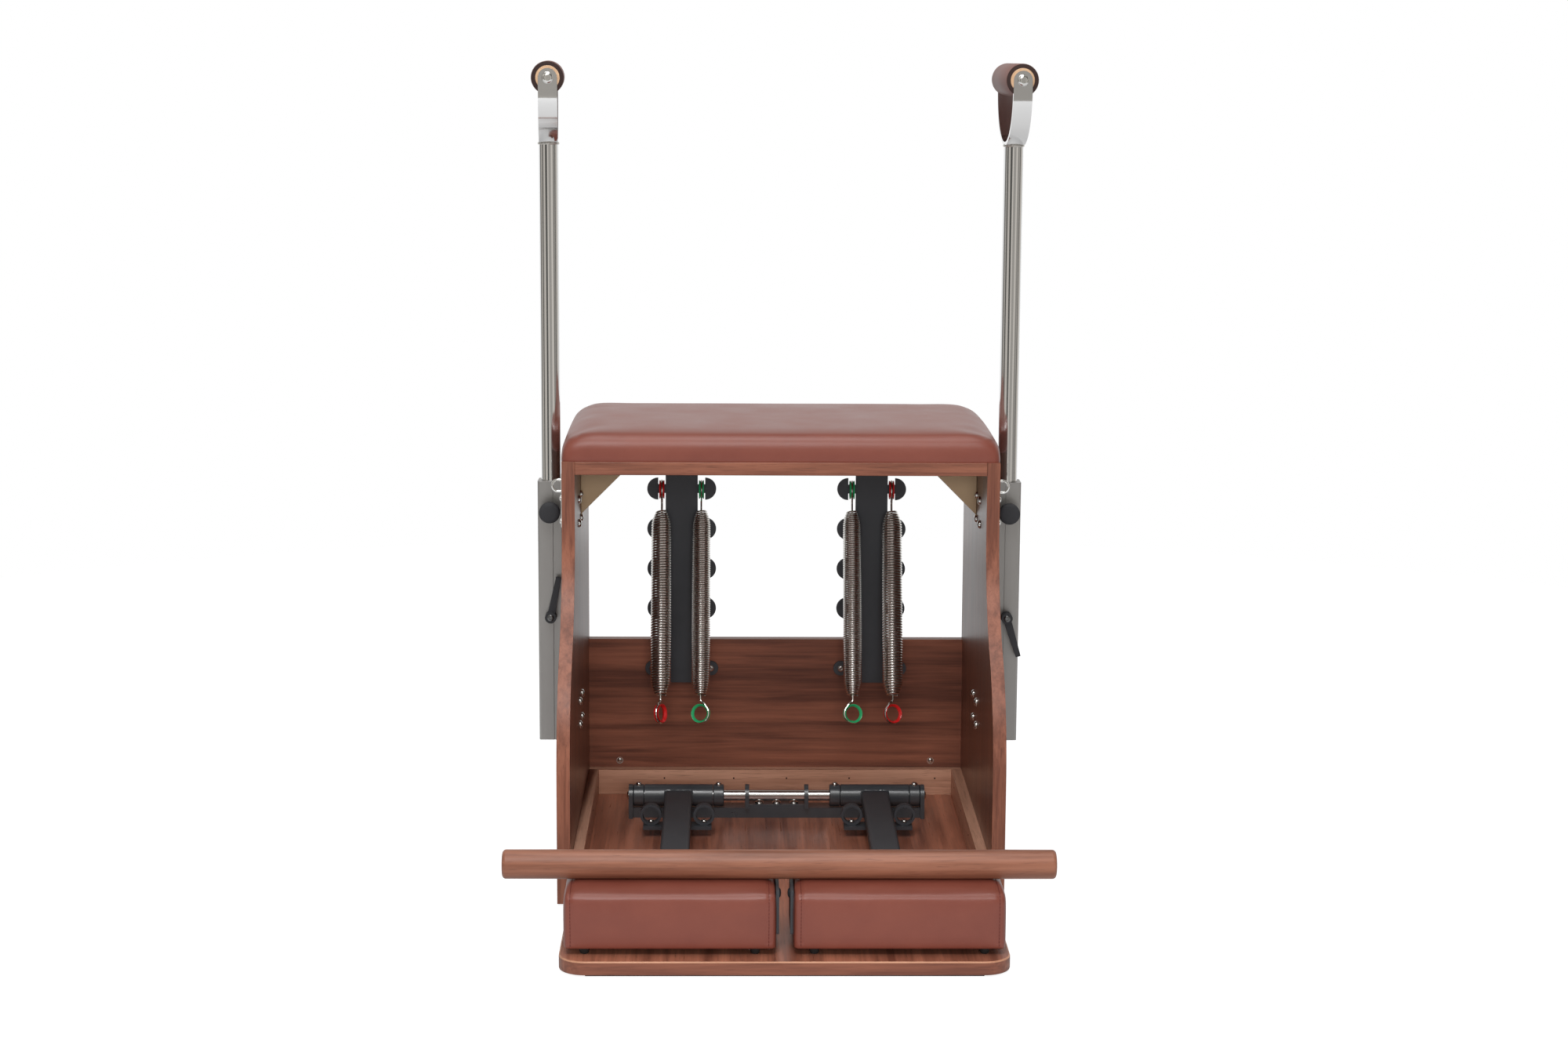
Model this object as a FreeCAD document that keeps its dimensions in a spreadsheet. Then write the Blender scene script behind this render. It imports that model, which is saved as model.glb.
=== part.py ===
import FreeCAD, Part
import Sketcher

import math
import os
from collections import namedtuple
from types import SimpleNamespace

Vector = FreeCAD.Vector

# Driving lengths in millimetres
SIZES = {
    # Carcass
    "outer_width": 600.0,
    "board": 18.0,
    "base_depth": 836.0,
    "base_corner": 34.0,
    "foot_height": 3.0,
    "foot_strip": 30.0,
    "foot_inset": 8.0,
    "panel_height": 576.0,
    "lower_setback": 299.0,
    "upper_setback": 458.0,
    "curve_bottom": 166.0,
    "curve_top": 486.0,
    "back_board_height": 237.0,
    "rail_height": 39.0,
    "rail_width": 15.0,
    "rail_setback": 10.0,
    "gusset_leg": 80.0,
    "gusset_setback": 160.0,
    # Seat cushion
    "cushion_height": 37.0,
    "cushion_crown": 3.0,
    "cushion_bulge": 2.0,
    "cushion_round": 20.0,
    "cushion_end_run": 38.0,
    "cushion_end_drop": 20.0,
    "cushion_back_corner": 42.0,
    "cushion_front_corner": 14.0,
    # Spring plates
    "plate_offset": 142.0,
    "plate_width": 48.0,
    "plate_thickness": 5.0,
    "plate_length": 369.0,
    "lug_drop": 73.0,
    "lug_pitch": 60.5,
    "lug_radius": 16.5,
    "neck_length": 11.0,
    "neck_height": 13.0,
    "ear_rise": 22.0,
    "ear_reach": 44.0,
    "ear_radius": 11.0,
    # Springs
    "spring_wire": 3.3,
    "heavy_coil": 31.0,
    "light_coil": 28.0,
    "coil_throat": 14.0,
    "spring_reach": 335.0,
    "coil_start": 33.0,
    "coil_length": 275.0,
    "coil_taper": 22.0,
    "thimble_radius": 14.0,
    "thimble_bore": 9.0,
    "thimble_width": 7.0,
    "thimble_forward": 2.0,
    "thimble_sag": 1.0,
    # Axle
    "axle_to_back": 140.0,
    "axle_height": 32.0,
    "shaft_radius": 8.0,
    "collar_length": 16.0,
    "collar_gap": 0.5,
    "collar_flat": 0.8,
    "end_plate": 6.0,
    "bar_lead": 9.0,
    "bar_depth": 30.0,
    "bar_height": 15.0,
    "tab_offset": 43.5,
    "tab_thickness": 6.0,
    "bracket_floor": 5.0,
    "bracket_bolt_pitch": 25.5,
    "axle_bolt_radius": 4.0,
    "axle_bolt_head": 6.5,
    "axle_bolt_dome": 3.0,
    "axle_bolt_length": 16.0,
    "running_clearance": 0.05,
    # Pedals
    "arm_offset": 144.0,
    "hub_radius": 16.0,
    "hub_length": 100.0,
    "bush_radius": 11.0,
    "bush_length": 20.0,
    "arm_width": 40.0,
    "arm_height": 20.0,
    "arm_wall": 2.0,
    "arm_corner": 5.0,
    "arm_reach": 640.0,
    "eye_plate_width": 98.0,
    "eye_plate_depth": 27.0,
    "eye_plate_thickness": 5.0,
    "eye_plate_drop": 5.5,
    "eye_plate_reach": 103.5,
    "ring_radius": 15.3,
    "ring_wall": 3.6,
    "ring_depth": 12.0,
    "ring_offset": 38.0,
    "ring_flat": 0.5,
    "ring_seat": 0.95,
    "pad_length": 265.0,
    "pad_depth": 130.0,
    "pad_setback": 20.0,
    "pad_gap": 11.0,
    "pad_height": 70.0,
    "pad_crown": 2.0,
    "pad_bulge": 3.0,
    "pad_round": 11.0,
    "pad_end_run": 12.0,
    "pad_end_drop": 4.0,
    "pad_corner": 8.0,
    "pad_wrap": 6.0,
    "pad_skirt_lift": 2.0,
    "pedal_board": 14.0,
    "pedal_foot_height": 8.0,
    "pedal_foot_radius": 8.0,
    "pedal_foot_inset": 26.0,
    "pedal_foot_setback": 16.0,
    "end_cap": 4.0,
    "end_cap_width": 84.0,
    "end_cap_height": 56.0,
    "end_cap_lift": 12.0,
    "end_cap_bolt_drop": 15.0,
    # Dowel
    "dowel_radius": 18.5,
    "dowel_length": 698.0,
    "dowel_shift": 6.0,
    "dowel_setback": 63.0,
    "dowel_end_round": 5.0,
    "rest_gap": 0.3,
    # Handles
    "sleeve_size": 36.0,
    "sleeve_corner": 3.0,
    "sleeve_drop": 43.0,
    "sleeve_rise": 161.0,
    "sleeve_setback": 125.0,
    "groove_width": 1.6,
    "groove_depth": 1.2,
    "groove_offset": 4.0,
    "mount_thickness": 4.0,
    "mount_width": 80.0,
    "mount_height": 60.0,
    "mount_inset": 41.0,
    "mount_bolt_spread": 26.0,
    "mount_bolt_rise": 17.0,
    "post_radius": 13.5,
    "post_wall": 2.0,
    "post_lift": 6.0,
    "post_length": 836.0,
    "yoke_width": 26.0,
    "yoke_strap": 5.0,
    "yoke_rise": 90.0,
    "grip_length": 140.0,
    "grip_play": 0.5,
    "grip_radius": 22.5,
    "core_radius": 16.5,
    "grip_bolt_radius": 4.0,
    "grip_bolt_head": 8.0,
    "grip_bolt_dome": 4.5,
    # Plungers and clamp levers on the sleeves
    "plunger_drop": 41.0,
    "housing_radius": 9.0,
    "housing_length": 8.0,
    "knob_radius": 14.75,
    "knob_length": 20.0,
    "knob_round": 5.0,
    "pin_radius": 4.0,
    "index_pitch": 40.0,
    "lever_drop": 192.0,
    "lever_hub_radius": 8.0,
    "lever_hub_length": 16.0,
    "lever_length": 58.0,
    "lever_root": 11.0,
    "lever_tip": 7.0,
    "lever_thickness": 8.0,
    "stud_radius": 3.0,
    # Strap eyes
    "strap_plate": 2.0,
    "strap_plate_width": 18.0,
    "strap_plate_height": 74.0,
    "strap_plate_drop": 20.0,
    "strap_eye_setback": 30.0,
    "strap_loop_radius": 8.0,
    "strap_loop_wire": 2.0,
    "strap_loop_leg": 4.0,
    "strap_loop_drop": 17.0,
    "strap_screw_inset": 7.0,
    "strap_screw_pitch": 32.0,
    # Fasteners
    "screw_radius": 2.2,
    "screw_head": 4.5,
    "screw_dome": 3.0,
    "screw_length": 15.0,
    "back_screw_reach": 236.0,
    "back_screw_rise": 10.0,
    "bolt_radius": 3.0,
    "bolt_head": 6.0,
    "bolt_dome": 4.0,
    "small_bolt_radius": 2.5,
    "small_bolt_head": 4.5,
    "small_bolt_length": 14.0,
    "overrun": 5.0,
}

# Counts and angles in degrees
LUG_ROWS = 4
INDEX_HOLES = 5
COIL_TURNS = 24.5
BIARCS_PER_TURN = 4
SPRING_LEAN = 18.0
LOWER_EYE_TURNS = {"left_outer": 70.0, "left_inner": -36.0, "right_inner": 25.0, "right_outer": 27.0}
HANDLE_TURN = 3.0
LEVER_TURNS = {-1: 11.2, 1: 162.7}
SIDES = {"left": -1, "right": 1}

# Shares below which a heading counts as straight, and of a turn over which a heading is measured
STRAIGHT_SHARE = 1e-9
HEADING_STEP_SHARE = 1e-4

# Cross sections of a cushion: angles round its falling end in degrees, then how many lie on to its middle
END_ANGLES = (75, 60, 45, 30, 15, 0)
MIDDLE_SECTIONS = 5


class Measure:
    """A length, held as its value and as the formula of sheet cells that gives it."""

    def __init__(self, number, formula):
        self.number = number
        self.formula = formula

    def join(self, sign, other, number):
        return Measure(number, f"({self.formula} {sign} {other.formula})")

    def __add__(self, other):
        other = measure(other)
        return self.join("+", other, self.number + other.number)

    def __sub__(self, other):
        other = measure(other)
        return self.join("-", other, self.number - other.number)

    def __mul__(self, other):
        other = measure(other)
        return self.join("*", other, self.number * other.number)

    def __truediv__(self, other):
        other = measure(other)
        return self.join("/", other, self.number / other.number)

    def __rsub__(self, other):
        return measure(other) - self

    def __neg__(self):
        return measure(0) - self

    __radd__ = __add__
    __rmul__ = __mul__


def measure(length):
    """Take a plain number as a measure of its own."""
    if isinstance(length, Measure):
        return length
    return Measure(float(length), repr(float(length)))


def point(x, y, z):
    """A vector from three measures or numbers."""
    return Vector(measure(x).number, measure(y).number, measure(z).number)


doc = FreeCAD.newDocument("PilatesChair")
sheet = doc.addObject("Spreadsheet::Sheet", "Sizes")
for row, (alias, length) in enumerate(SIZES.items(), start=1):
    sheet.set(f"A{row}", alias)
    sheet.set(f"B{row}", str(length))
    sheet.setAlias(f"B{row}", alias)
doc.recompute()
size = SimpleNamespace(**{alias: Measure(float(sheet.get(alias)), f"Sizes.{alias}") for alias in SIZES})
nodes = []


# Building blocks

def bind(item, **lengths):
    """Tie an object's sizes to their formulas; x, y and z place it."""
    for name, length in lengths.items():
        path = f"Placement.Base.{name}" if name in ("x", "y", "z") else name
        item.setExpression(path, measure(length).formula)


def node(name, item):
    """Keep an object as one named piece of the chair."""
    item.Label = name
    nodes.append(item)
    return item


def about(middle, width):
    """The span of a width centred on a place."""
    return (middle - width / 2, middle + width / 2)


def block(x, y, z):
    """A box over three spans."""
    item = doc.addObject("Part::Box", "Box")
    bind(item, Length=x[1] - x[0], Width=y[1] - y[0], Height=z[1] - z[0], x=x[0], y=y[0], z=z[0])
    return item


TURNS = {
    "+x": FreeCAD.Rotation(Vector(0, 1, 0), 90),
    "-x": FreeCAD.Rotation(Vector(0, 1, 0), -90),
    "+y": FreeCAD.Rotation(Vector(1, 0, 0), -90),
    "-y": FreeCAD.Rotation(Vector(1, 0, 0), 90),
    "+z": FreeCAD.Rotation(),
    "-z": FreeCAD.Rotation(Vector(1, 0, 0), 180),
}


def rod(way, start, length, radius):
    """A cylinder that runs one way from the middle of its first end."""
    item = doc.addObject("Part::Cylinder", "Cylinder")
    item.Placement = FreeCAD.Placement(Vector(), TURNS[way])
    bind(item, Radius=radius, Height=length, x=start[0], y=start[1], z=start[2])
    return item


def dome(way, start, radius, rise):
    """A domed head that rises one way from its seat."""
    item = doc.addObject("Part::Ellipsoid", "Dome")
    item.Placement = FreeCAD.Placement(Vector(), TURNS[way])
    item.Angle1 = 0
    bind(item, Radius1=rise, Radius2=radius, Radius3=radius, x=start[0], y=start[1], z=start[2])
    return item


def fuse(*items):
    """One solid from pieces that meet."""
    item = doc.addObject("Part::MultiFuse", "Fusion")
    item.Shapes = list(items)
    return item


def group(*items):
    """Separate solids kept in one piece of the list."""
    item = doc.addObject("Part::Compound", "Group")
    item.Links = list(items)
    return item


def cut(base, *tools):
    """A base less its tools."""
    item = doc.addObject("Part::Cut", "Cut")
    item.Base = base
    item.Tool = tools[0] if len(tools) == 1 else group(*tools)
    return item


def opposite(way):
    return {"+": "-", "-": "+"}[way[0]] + way[1]


def domed_bolt(way, seat, head, rise, radius, length):
    """A bolt whose head rises one way from its seat and whose shank runs the other."""
    return fuse(dome(way, seat, head, rise), rod(opposite(way), seat, length, radius))


Corner = namedtuple("Corner", "u v bend", defaults=(None,))


def arc_between(start, stop, radius):
    """The short arc from one place to another, which bends left where its radius is positive."""
    chord = stop - start
    rise = math.sqrt(max(radius * radius - chord.Length * chord.Length / 4, 0))
    normal = Vector(-chord.y, chord.x, 0).normalize()
    centre = (start + stop) / 2 + normal * math.copysign(rise, radius)
    first, last = (start, stop) if radius > 0 else (stop, start)
    angles = [math.atan2(place.y - centre.y, place.x - centre.x) for place in (first, last)]
    circle = Part.Circle(centre, Vector(0, 0, 1), abs(radius))
    return Part.ArcOfCircle(circle, angles[0], angles[1])


def draw(sketch, corners):
    """Draw a closed outline; a corner's bend is the radius of the arc that leaves it, positive if left."""
    places = [Vector(measure(corner.u).number, measure(corner.v).number, 0) for corner in corners]
    ends = []
    for corner, start, stop in zip(corners, places, places[1:] + places[:1]):
        if corner.bend is None:
            sketch.addGeometry(Part.LineSegment(start, stop), False)
            ends.append((1, 2))
        else:
            bend = measure(corner.bend).number
            sketch.addGeometry(arc_between(start, stop, bend), False)
            ends.append((1, 2) if bend > 0 else (2, 1))
    for index, corner in enumerate(corners):
        following = (index + 1) % len(corners)
        sketch.addConstraint(
            Sketcher.Constraint("Coincident", index, ends[index][1], following, ends[following][0]))
        for kind, length in (("DistanceX", corner.u), ("DistanceY", corner.v)):
            length = measure(length)
            place = sketch.addConstraint(
                Sketcher.Constraint(kind, -1, 1, index, ends[index][0], length.number))
            sketch.setExpression(f"Constraints[{place}]", length.formula)
        if corner.bend is not None:
            bend = measure(corner.bend)
            bend = bend if bend.number > 0 else -bend
            place = sketch.addConstraint(Sketcher.Constraint("Radius", index, bend.number))
            sketch.setExpression(f"Constraints[{place}]", bend.formula)


def sketched_body(plane, corners):
    """A body with one sketch on one of its own planes."""
    body = doc.addObject("PartDesign::Body", "Body")
    sketch = body.newObject("Sketcher::SketchObject", "Outline")
    faces = {feature.Role: feature for feature in body.Origin.OriginFeatures}
    sketch.AttachmentSupport = (faces[f"{plane}_Plane"], [""])
    sketch.MapMode = "FlatFace"
    draw(sketch, corners)
    return body, sketch


def prism(plane, corners, thickness, x=0, y=0, z=0):
    """An outline thickened evenly to both sides of its plane."""
    body, sketch = sketched_body(plane, corners)
    pad = body.newObject("PartDesign::Pad", "Pad")
    pad.Profile = sketch
    pad.Midplane = True
    bind(pad, Length=thickness)
    bind(body, x=x, y=y, z=z)
    return body


def turned(way, corners, x, y, z):
    """An outline of (distance along, radius) turned about its own axis, which points one way."""
    body, sketch = sketched_body("XY", corners)
    turn = body.newObject("PartDesign::Revolution", "Turn")
    turn.Profile = sketch
    turn.ReferenceAxis = (sketch, ["H_Axis"])
    body.Placement = FreeCAD.Placement(Vector(), TURNS[way].multiply(TURNS["-x"]))
    bind(body, x=x, y=y, z=z)
    return body


def rounded(u, v, radius):
    """Corners of a rectangle with four equal round corners."""
    return [
        Corner(u[0] + radius, v[0]), Corner(u[1] - radius, v[0], radius),
        Corner(u[1], v[0] + radius), Corner(u[1], v[1] - radius, radius),
        Corner(u[1] - radius, v[1]), Corner(u[0] + radius, v[1], radius),
        Corner(u[0], v[1] - radius), Corner(u[0], v[0] + radius, radius),
    ]


def form(shape, placement=FreeCAD.Placement()):
    """An object from a shape of its own."""
    item = doc.addObject("Part::Feature", "Form")
    item.Shape = shape
    item.Placement = placement
    return item


# Places that several pieces share

base_bottom = size.foot_height
base_top = base_bottom + size.board
outer_half = size.outer_width / 2
inner_half = outer_half - size.board
base_front = -size.base_depth / 2
base_back = size.base_depth / 2
lower_front = base_front + size.lower_setback
upper_front = base_front + size.upper_setback
panel_top = base_bottom + size.panel_height
seat_underside = panel_top - size.board
back_face = base_back - size.board
axle_y = back_face - size.axle_to_back
axle_z = base_top + size.axle_height
plate_face = back_face - size.plate_thickness
plate_bottom = seat_underside - size.plate_length
ear_z = plate_bottom + size.ear_rise
top_lug_z = seat_underside - size.lug_drop
neck_middle = size.plate_width / 2 + size.neck_length / 2
sleeve_x = outer_half + size.mount_thickness + size.sleeve_size / 2
sleeve_y = upper_front + size.sleeve_setback
sleeve_bottom = base_bottom + size.sleeve_rise
sleeve_top = panel_top - size.sleeve_drop
sleeve_length = sleeve_top - sleeve_bottom
sleeve_face = sleeve_y - size.sleeve_size / 2
mount_levels = (sleeve_bottom + size.mount_inset, sleeve_top - size.mount_inset)
plunger_z = sleeve_top - size.plunger_drop
lever_z = sleeve_top - size.lever_drop
post_bottom = sleeve_bottom + size.post_lift
post_top = post_bottom + size.post_length
grip_z = post_top + size.yoke_rise
pedal_board_bottom = base_top + size.pedal_foot_height
pedal_board_top = pedal_board_bottom + size.pedal_board
arm_bottom = axle_z - size.arm_height / 2
eye_plate_top = arm_bottom - size.eye_plate_drop
pad_front = base_front + size.pad_setback
pad_bottom = pedal_board_bottom + size.pad_skirt_lift
pad_top = pad_bottom + size.pad_height + size.pad_crown
collar_outer = size.arm_offset + size.hub_length / 2 + size.collar_gap + size.collar_length
end_plate_inside = collar_outer + size.collar_gap
strap_plate_top = panel_top - size.strap_plate_drop
strap_y = upper_front + size.strap_eye_setback
strap_face = outer_half + size.strap_plate
strap_loop_z = strap_plate_top - size.strap_loop_drop
strap_screw_z = strap_plate_top - size.strap_plate_height + size.strap_screw_inset


def out_way(side):
    """The way that leads out of the chair on one side."""
    return "+x" if side > 0 else "-x"


def side_span(side, inside, outside):
    """A span of distances from the middle plane, on one side."""
    return (inside, outside) if side > 0 else (-outside, -inside)


# Cushions

def cushion_wire(x, front, back, bottom, top, crown, bulge, bend):
    """One cross section: a flat bottom, sides drawn in at their foot, round shoulders and a crowned top."""
    middle = (front + back) / 2
    shoulder = top - bend
    waist = (bottom + shoulder) / 2
    rise = bend * math.sqrt(0.5)
    feet = (Vector(x, front + bulge, bottom), Vector(x, back - bulge, bottom))
    sides = (Vector(x, front, shoulder), Vector(x, back, shoulder))
    edges = (Vector(x, front + bend, top), Vector(x, back - bend, top))
    return Part.Wire([
        Part.LineSegment(feet[0], feet[1]).toShape(),
        Part.Arc(feet[1], Vector(x, back - bulge / 4, waist), sides[1]).toShape(),
        Part.Arc(sides[1], Vector(x, back - bend + rise, shoulder + rise), edges[1]).toShape(),
        Part.Arc(edges[1], Vector(x, middle, crown), edges[0]).toShape(),
        Part.Arc(edges[0], Vector(x, front + bend - rise, shoulder + rise), sides[0]).toShape(),
        Part.Arc(sides[0], Vector(x, front + bulge / 4, waist), feet[0]).toShape(),
    ])


def round_in(corner, distance):
    """How far a round corner draws an edge in, at a distance from the end."""
    share = max(corner - distance, 0.0) / corner * math.sin(math.radians(END_ANGLES[0]))
    return corner - corner * math.sqrt(1 - share * share)


def cushion(x, y, z, crown, bulge, bend, run, drop, corners):
    """A crowned block whose plan corners are round and whose top falls to both ends over a run."""
    x, y, z, corners = [[measure(end).number for end in pair] for pair in (x, y, z, corners)]
    crown, bulge, bend, run, drop = [measure(length).number for length in (crown, bulge, bend, run, drop)]
    middle = (x[0] + x[1]) / 2
    half = (x[1] - x[0]) / 2
    shares = [math.sin(math.radians(angle)) for angle in END_ANGLES]
    distances = [run - run * share / shares[0] for share in shares]
    distances += [run * (half / run) ** (step / MIDDLE_SECTIONS) for step in range(1, MIDDLE_SECTIONS + 1)]
    offsets = [half - distance for distance in distances]
    offsets += [-offset for offset in reversed(offsets[:-1])]
    wires = []
    for offset in offsets:
        distance = half - abs(offset)
        top = z[1] - drop * round_in(run, min(distance, run)) / run
        wires.append(cushion_wire(
            middle + offset,
            y[0] + round_in(corners[0], min(distance, corners[0])),
            y[1] - round_in(corners[1], min(distance, corners[1])),
            z[0], top, top + crown, bulge, bend))
    return Part.makeLoft(wires, True, False)


# Carcass

def make_base():
    corner = size.base_corner
    outline = [
        Corner(-inner_half + corner, base_front), Corner(inner_half - corner, base_front, corner),
        Corner(inner_half, base_front + corner), Corner(inner_half, base_back),
        Corner(-inner_half, base_back), Corner(-inner_half, base_front + corner, corner),
    ]
    node("base_plate", prism("XY", outline, size.board, z=base_bottom + size.board / 2))
    strip = (corner - inner_half, inner_half - corner)
    front = base_front + size.foot_inset
    back = base_back - size.foot_inset
    node("base_feet", group(
        block(strip, (front, front + size.foot_strip), (measure(0), base_bottom)),
        block(strip, (back - size.foot_strip, back), (measure(0), base_bottom))))


def panel_outline():
    """The side panel's outline, whose front swings back in two equal arcs."""
    run = size.upper_setback - size.lower_setback
    rise = size.curve_top - size.curve_bottom
    bend = (rise * rise + run * run) / (4 * run)
    low = base_bottom + size.curve_bottom
    high = base_bottom + size.curve_top
    return [
        Corner(base_back, base_bottom), Corner(base_back, panel_top), Corner(upper_front, panel_top),
        Corner(upper_front, high, -bend),
        Corner((lower_front + upper_front) / 2, (low + high) / 2, bend),
        Corner(lower_front, low), Corner(lower_front, base_bottom),
    ]


def mount_bolt_places():
    """Places of a sleeve's mounting bolts, as y and z."""
    return [
        (sleeve_y + across * size.mount_bolt_spread, level + up * size.mount_bolt_rise)
        for level in mount_levels for across in (-1, 1) for up in (-1, 1)
    ]


def strap_screw_places():
    """Heights of a strap eye's two screws."""
    return (strap_screw_z, strap_screw_z + size.strap_screw_pitch)


def make_panels():
    for name, side in SIDES.items():
        panel = prism("YZ", panel_outline(), size.board, x=side * (outer_half - size.board / 2))
        start = side * (inner_half - size.overrun)
        holes = [
            rod(out_way(side), (start, y, z), size.board + 2 * size.overrun, size.bolt_radius)
            for y, z in mount_bolt_places()
        ]
        holes += [strap_screw_shank(side, z) for z in strap_screw_places()]
        node(f"{name}_panel", cut(panel, *holes))


def make_seat():
    across = (-inner_half, inner_half)
    node("seat_board", block(across, (upper_front, base_back), (seat_underside, panel_top)))
    node("seat_cushion", form(cushion(
        (-outer_half, outer_half), (upper_front, base_back), (panel_top, panel_top + size.cushion_height),
        size.cushion_crown, size.cushion_bulge, size.cushion_round, size.cushion_end_run,
        size.cushion_end_drop, (size.cushion_front_corner, size.cushion_back_corner))))


def back_screw_places():
    """Seats of the screws in the back board, at its foot and through the ears of the spring plates."""
    foot_z = base_top + size.rail_height + size.back_screw_rise
    places = [(side * size.back_screw_reach, back_face, foot_z) for side in (-1, 1)]
    for side in (-1, 1):
        for across in (-1, 1):
            places.append((side * size.plate_offset + across * size.ear_reach, plate_face, ear_z))
    return places


def make_back():
    board_z = (base_top, base_top + size.back_board_height)
    board = block((-inner_half, inner_half), (back_face, base_back), board_z)
    holes = [rod("+y", seat, size.screw_length, size.screw_radius) for seat in back_screw_places()]
    node("back_board", cut(board, *holes))
    rail_z = (base_top, base_top + size.rail_height)
    rail_front = back_face - size.rail_width
    rails = [block((-inner_half, inner_half), (rail_front, back_face), rail_z)]
    for side in (-1, 1):
        across = side_span(side, inner_half - size.rail_width, inner_half)
        rails.append(block(across, (lower_front + size.rail_setback, rail_front), rail_z))
    node("floor_rails", group(*rails))


def make_gussets():
    gussets = []
    for side in (-1, 1):
        edge = side * inner_half
        outline = [
            Corner(edge, seat_underside), Corner(edge - side * size.gusset_leg, seat_underside),
            Corner(edge, seat_underside - size.gusset_leg),
        ]
        gusset_y = upper_front + size.gusset_setback + size.board / 2
        gussets.append(prism("XZ", outline, size.board, y=gusset_y))
    node("corner_gussets", group(*gussets))


# Spring plates

def lug(side, across, z):
    """A half disc on a neck, at one edge of a plate."""
    edge = side * size.plate_offset + across * size.plate_width / 2
    flat = edge + across * size.neck_length
    disc = rod("+y", (flat, plate_face, z), size.plate_thickness, size.lug_radius)
    inner_half_disc = block(
        side_span(across, flat * across - size.lug_radius, flat * across),
        (plate_face - size.overrun, back_face + size.overrun),
        about(z, 2 * (size.lug_radius + size.overrun)))
    neck = block(
        side_span(across, edge * across - size.overrun, flat * across + size.overrun),
        (plate_face, back_face), about(z, size.neck_height))
    return fuse(cut(disc, inner_half_disc), neck)


def spring_plate(side):
    middle = side * size.plate_offset
    pieces = [block(about(middle, size.plate_width), (plate_face, back_face), (plate_bottom, seat_underside))]
    holes = []
    for across in (-1, 1):
        for row in range(LUG_ROWS):
            pieces.append(lug(side, across, top_lug_z - row * size.lug_pitch))
        ear = (middle + across * size.ear_reach, plate_face, ear_z)
        pieces.append(rod("+y", ear, size.plate_thickness, size.ear_radius))
        web = side_span(across, middle * across, (middle + across * size.ear_reach) * across)
        pieces.append(block(web, (plate_face, back_face), about(ear_z, size.neck_height)))
        start = (ear[0], plate_face - size.overrun, ear_z)
        holes.append(rod("+y", start, size.plate_thickness + 2 * size.overrun, size.screw_radius))
    return cut(fuse(*pieces), *holes)


def make_spring_plates():
    node("spring_plates", group(*[spring_plate(side) for side in (-1, 1)]))


# Springs

def biarc(start, heading, stop, arrival):
    """Two arcs that meet smoothly, from one place and heading to another."""
    span = stop - start
    headings = heading + arrival
    spread = 2 * (1 - heading.dot(arrival))
    along = span.dot(headings)
    reach = (math.sqrt(along * along + spread * span.dot(span)) - along) / spread
    joint = (start + heading * reach + stop - arrival * reach) / 2
    return [arc_from(start, heading, joint), arc_from(stop, -arrival, joint).reversed()]


def arc_from(start, heading, stop):
    """The arc that leaves a place along a heading and ends at another."""
    chord = stop - start
    along = chord * (1 / chord.Length)
    away = heading - along * heading.dot(along)
    if away.Length < STRAIGHT_SHARE:
        return Part.LineSegment(start, stop).toShape()
    half_sweep = math.atan2(away.Length, heading.dot(along))
    away.normalize()
    crest = start + chord / 2 + away * (chord.Length / 2 * math.tan(half_sweep / 2))
    return Part.Arc(start, crest, stop).toShape()


def coil_radius(depth, coil):
    """The radius of the wire's middle line at a depth along the coil, narrower at both ends."""
    full = (coil - size.spring_wire.number) / 2
    throat = (size.coil_throat.number - size.spring_wire.number) / 2
    taper = size.coil_taper.number
    inward = min(depth, size.coil_length.number - depth) / taper
    swell = math.sin(math.pi / 2 * min(inward, 1.0))
    return throat + (full - throat) * swell


def coil_place(turn, coil):
    """A place on the wire's middle line, hung from the upper eye at the origin."""
    share = turn / COIL_TURNS
    depth = size.coil_length.number * share
    radius = coil_radius(depth, coil)
    angle = 2 * math.pi * turn
    drop = size.coil_start.number + depth
    return Vector(radius * math.cos(angle), radius * math.sin(angle), -drop)


def coil_heading(turn, coil):
    """The heading of the wire there, from two near places."""
    before = max(turn - HEADING_STEP_SHARE, 0.0)
    after = min(turn + HEADING_STEP_SHARE, COIL_TURNS)
    return (coil_place(after, coil) - coil_place(before, coil)).normalize()


def spring_path(coil):
    """Places and headings of one spring's wire from eye to eye."""
    down = Vector(0, 0, -1)
    shank = size.thimble_radius.number
    straight = size.spring_wire.number
    reach = size.spring_reach.number
    path = [(Vector(0, 0, -shank), down), (Vector(0, 0, -shank - straight), down)]
    steps = int(COIL_TURNS * BIARCS_PER_TURN)
    for step in range(steps + 1):
        turn = step / BIARCS_PER_TURN
        path.append((coil_place(turn, coil), coil_heading(turn, coil)))
    path.append((Vector(0, 0, shank + straight - reach), down))
    path.append((Vector(0, 0, shank - reach), down))
    return path


def least_gap(edges, wire):
    """The least clear gap between turns of a wire, measured on points of its middle line."""
    places = [edge.valueAt(edge.FirstParameter + (edge.LastParameter - edge.FirstParameter) * share)
              for edge in edges for share in (0.0, 0.5)]
    near = 2 * BIARCS_PER_TURN
    gaps = [
        (places[index] - places[other]).Length - wire
        for index in range(len(places))
        for other in range(index + near, min(index + 4 * near, len(places)))
    ]
    return min(gaps)


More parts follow.
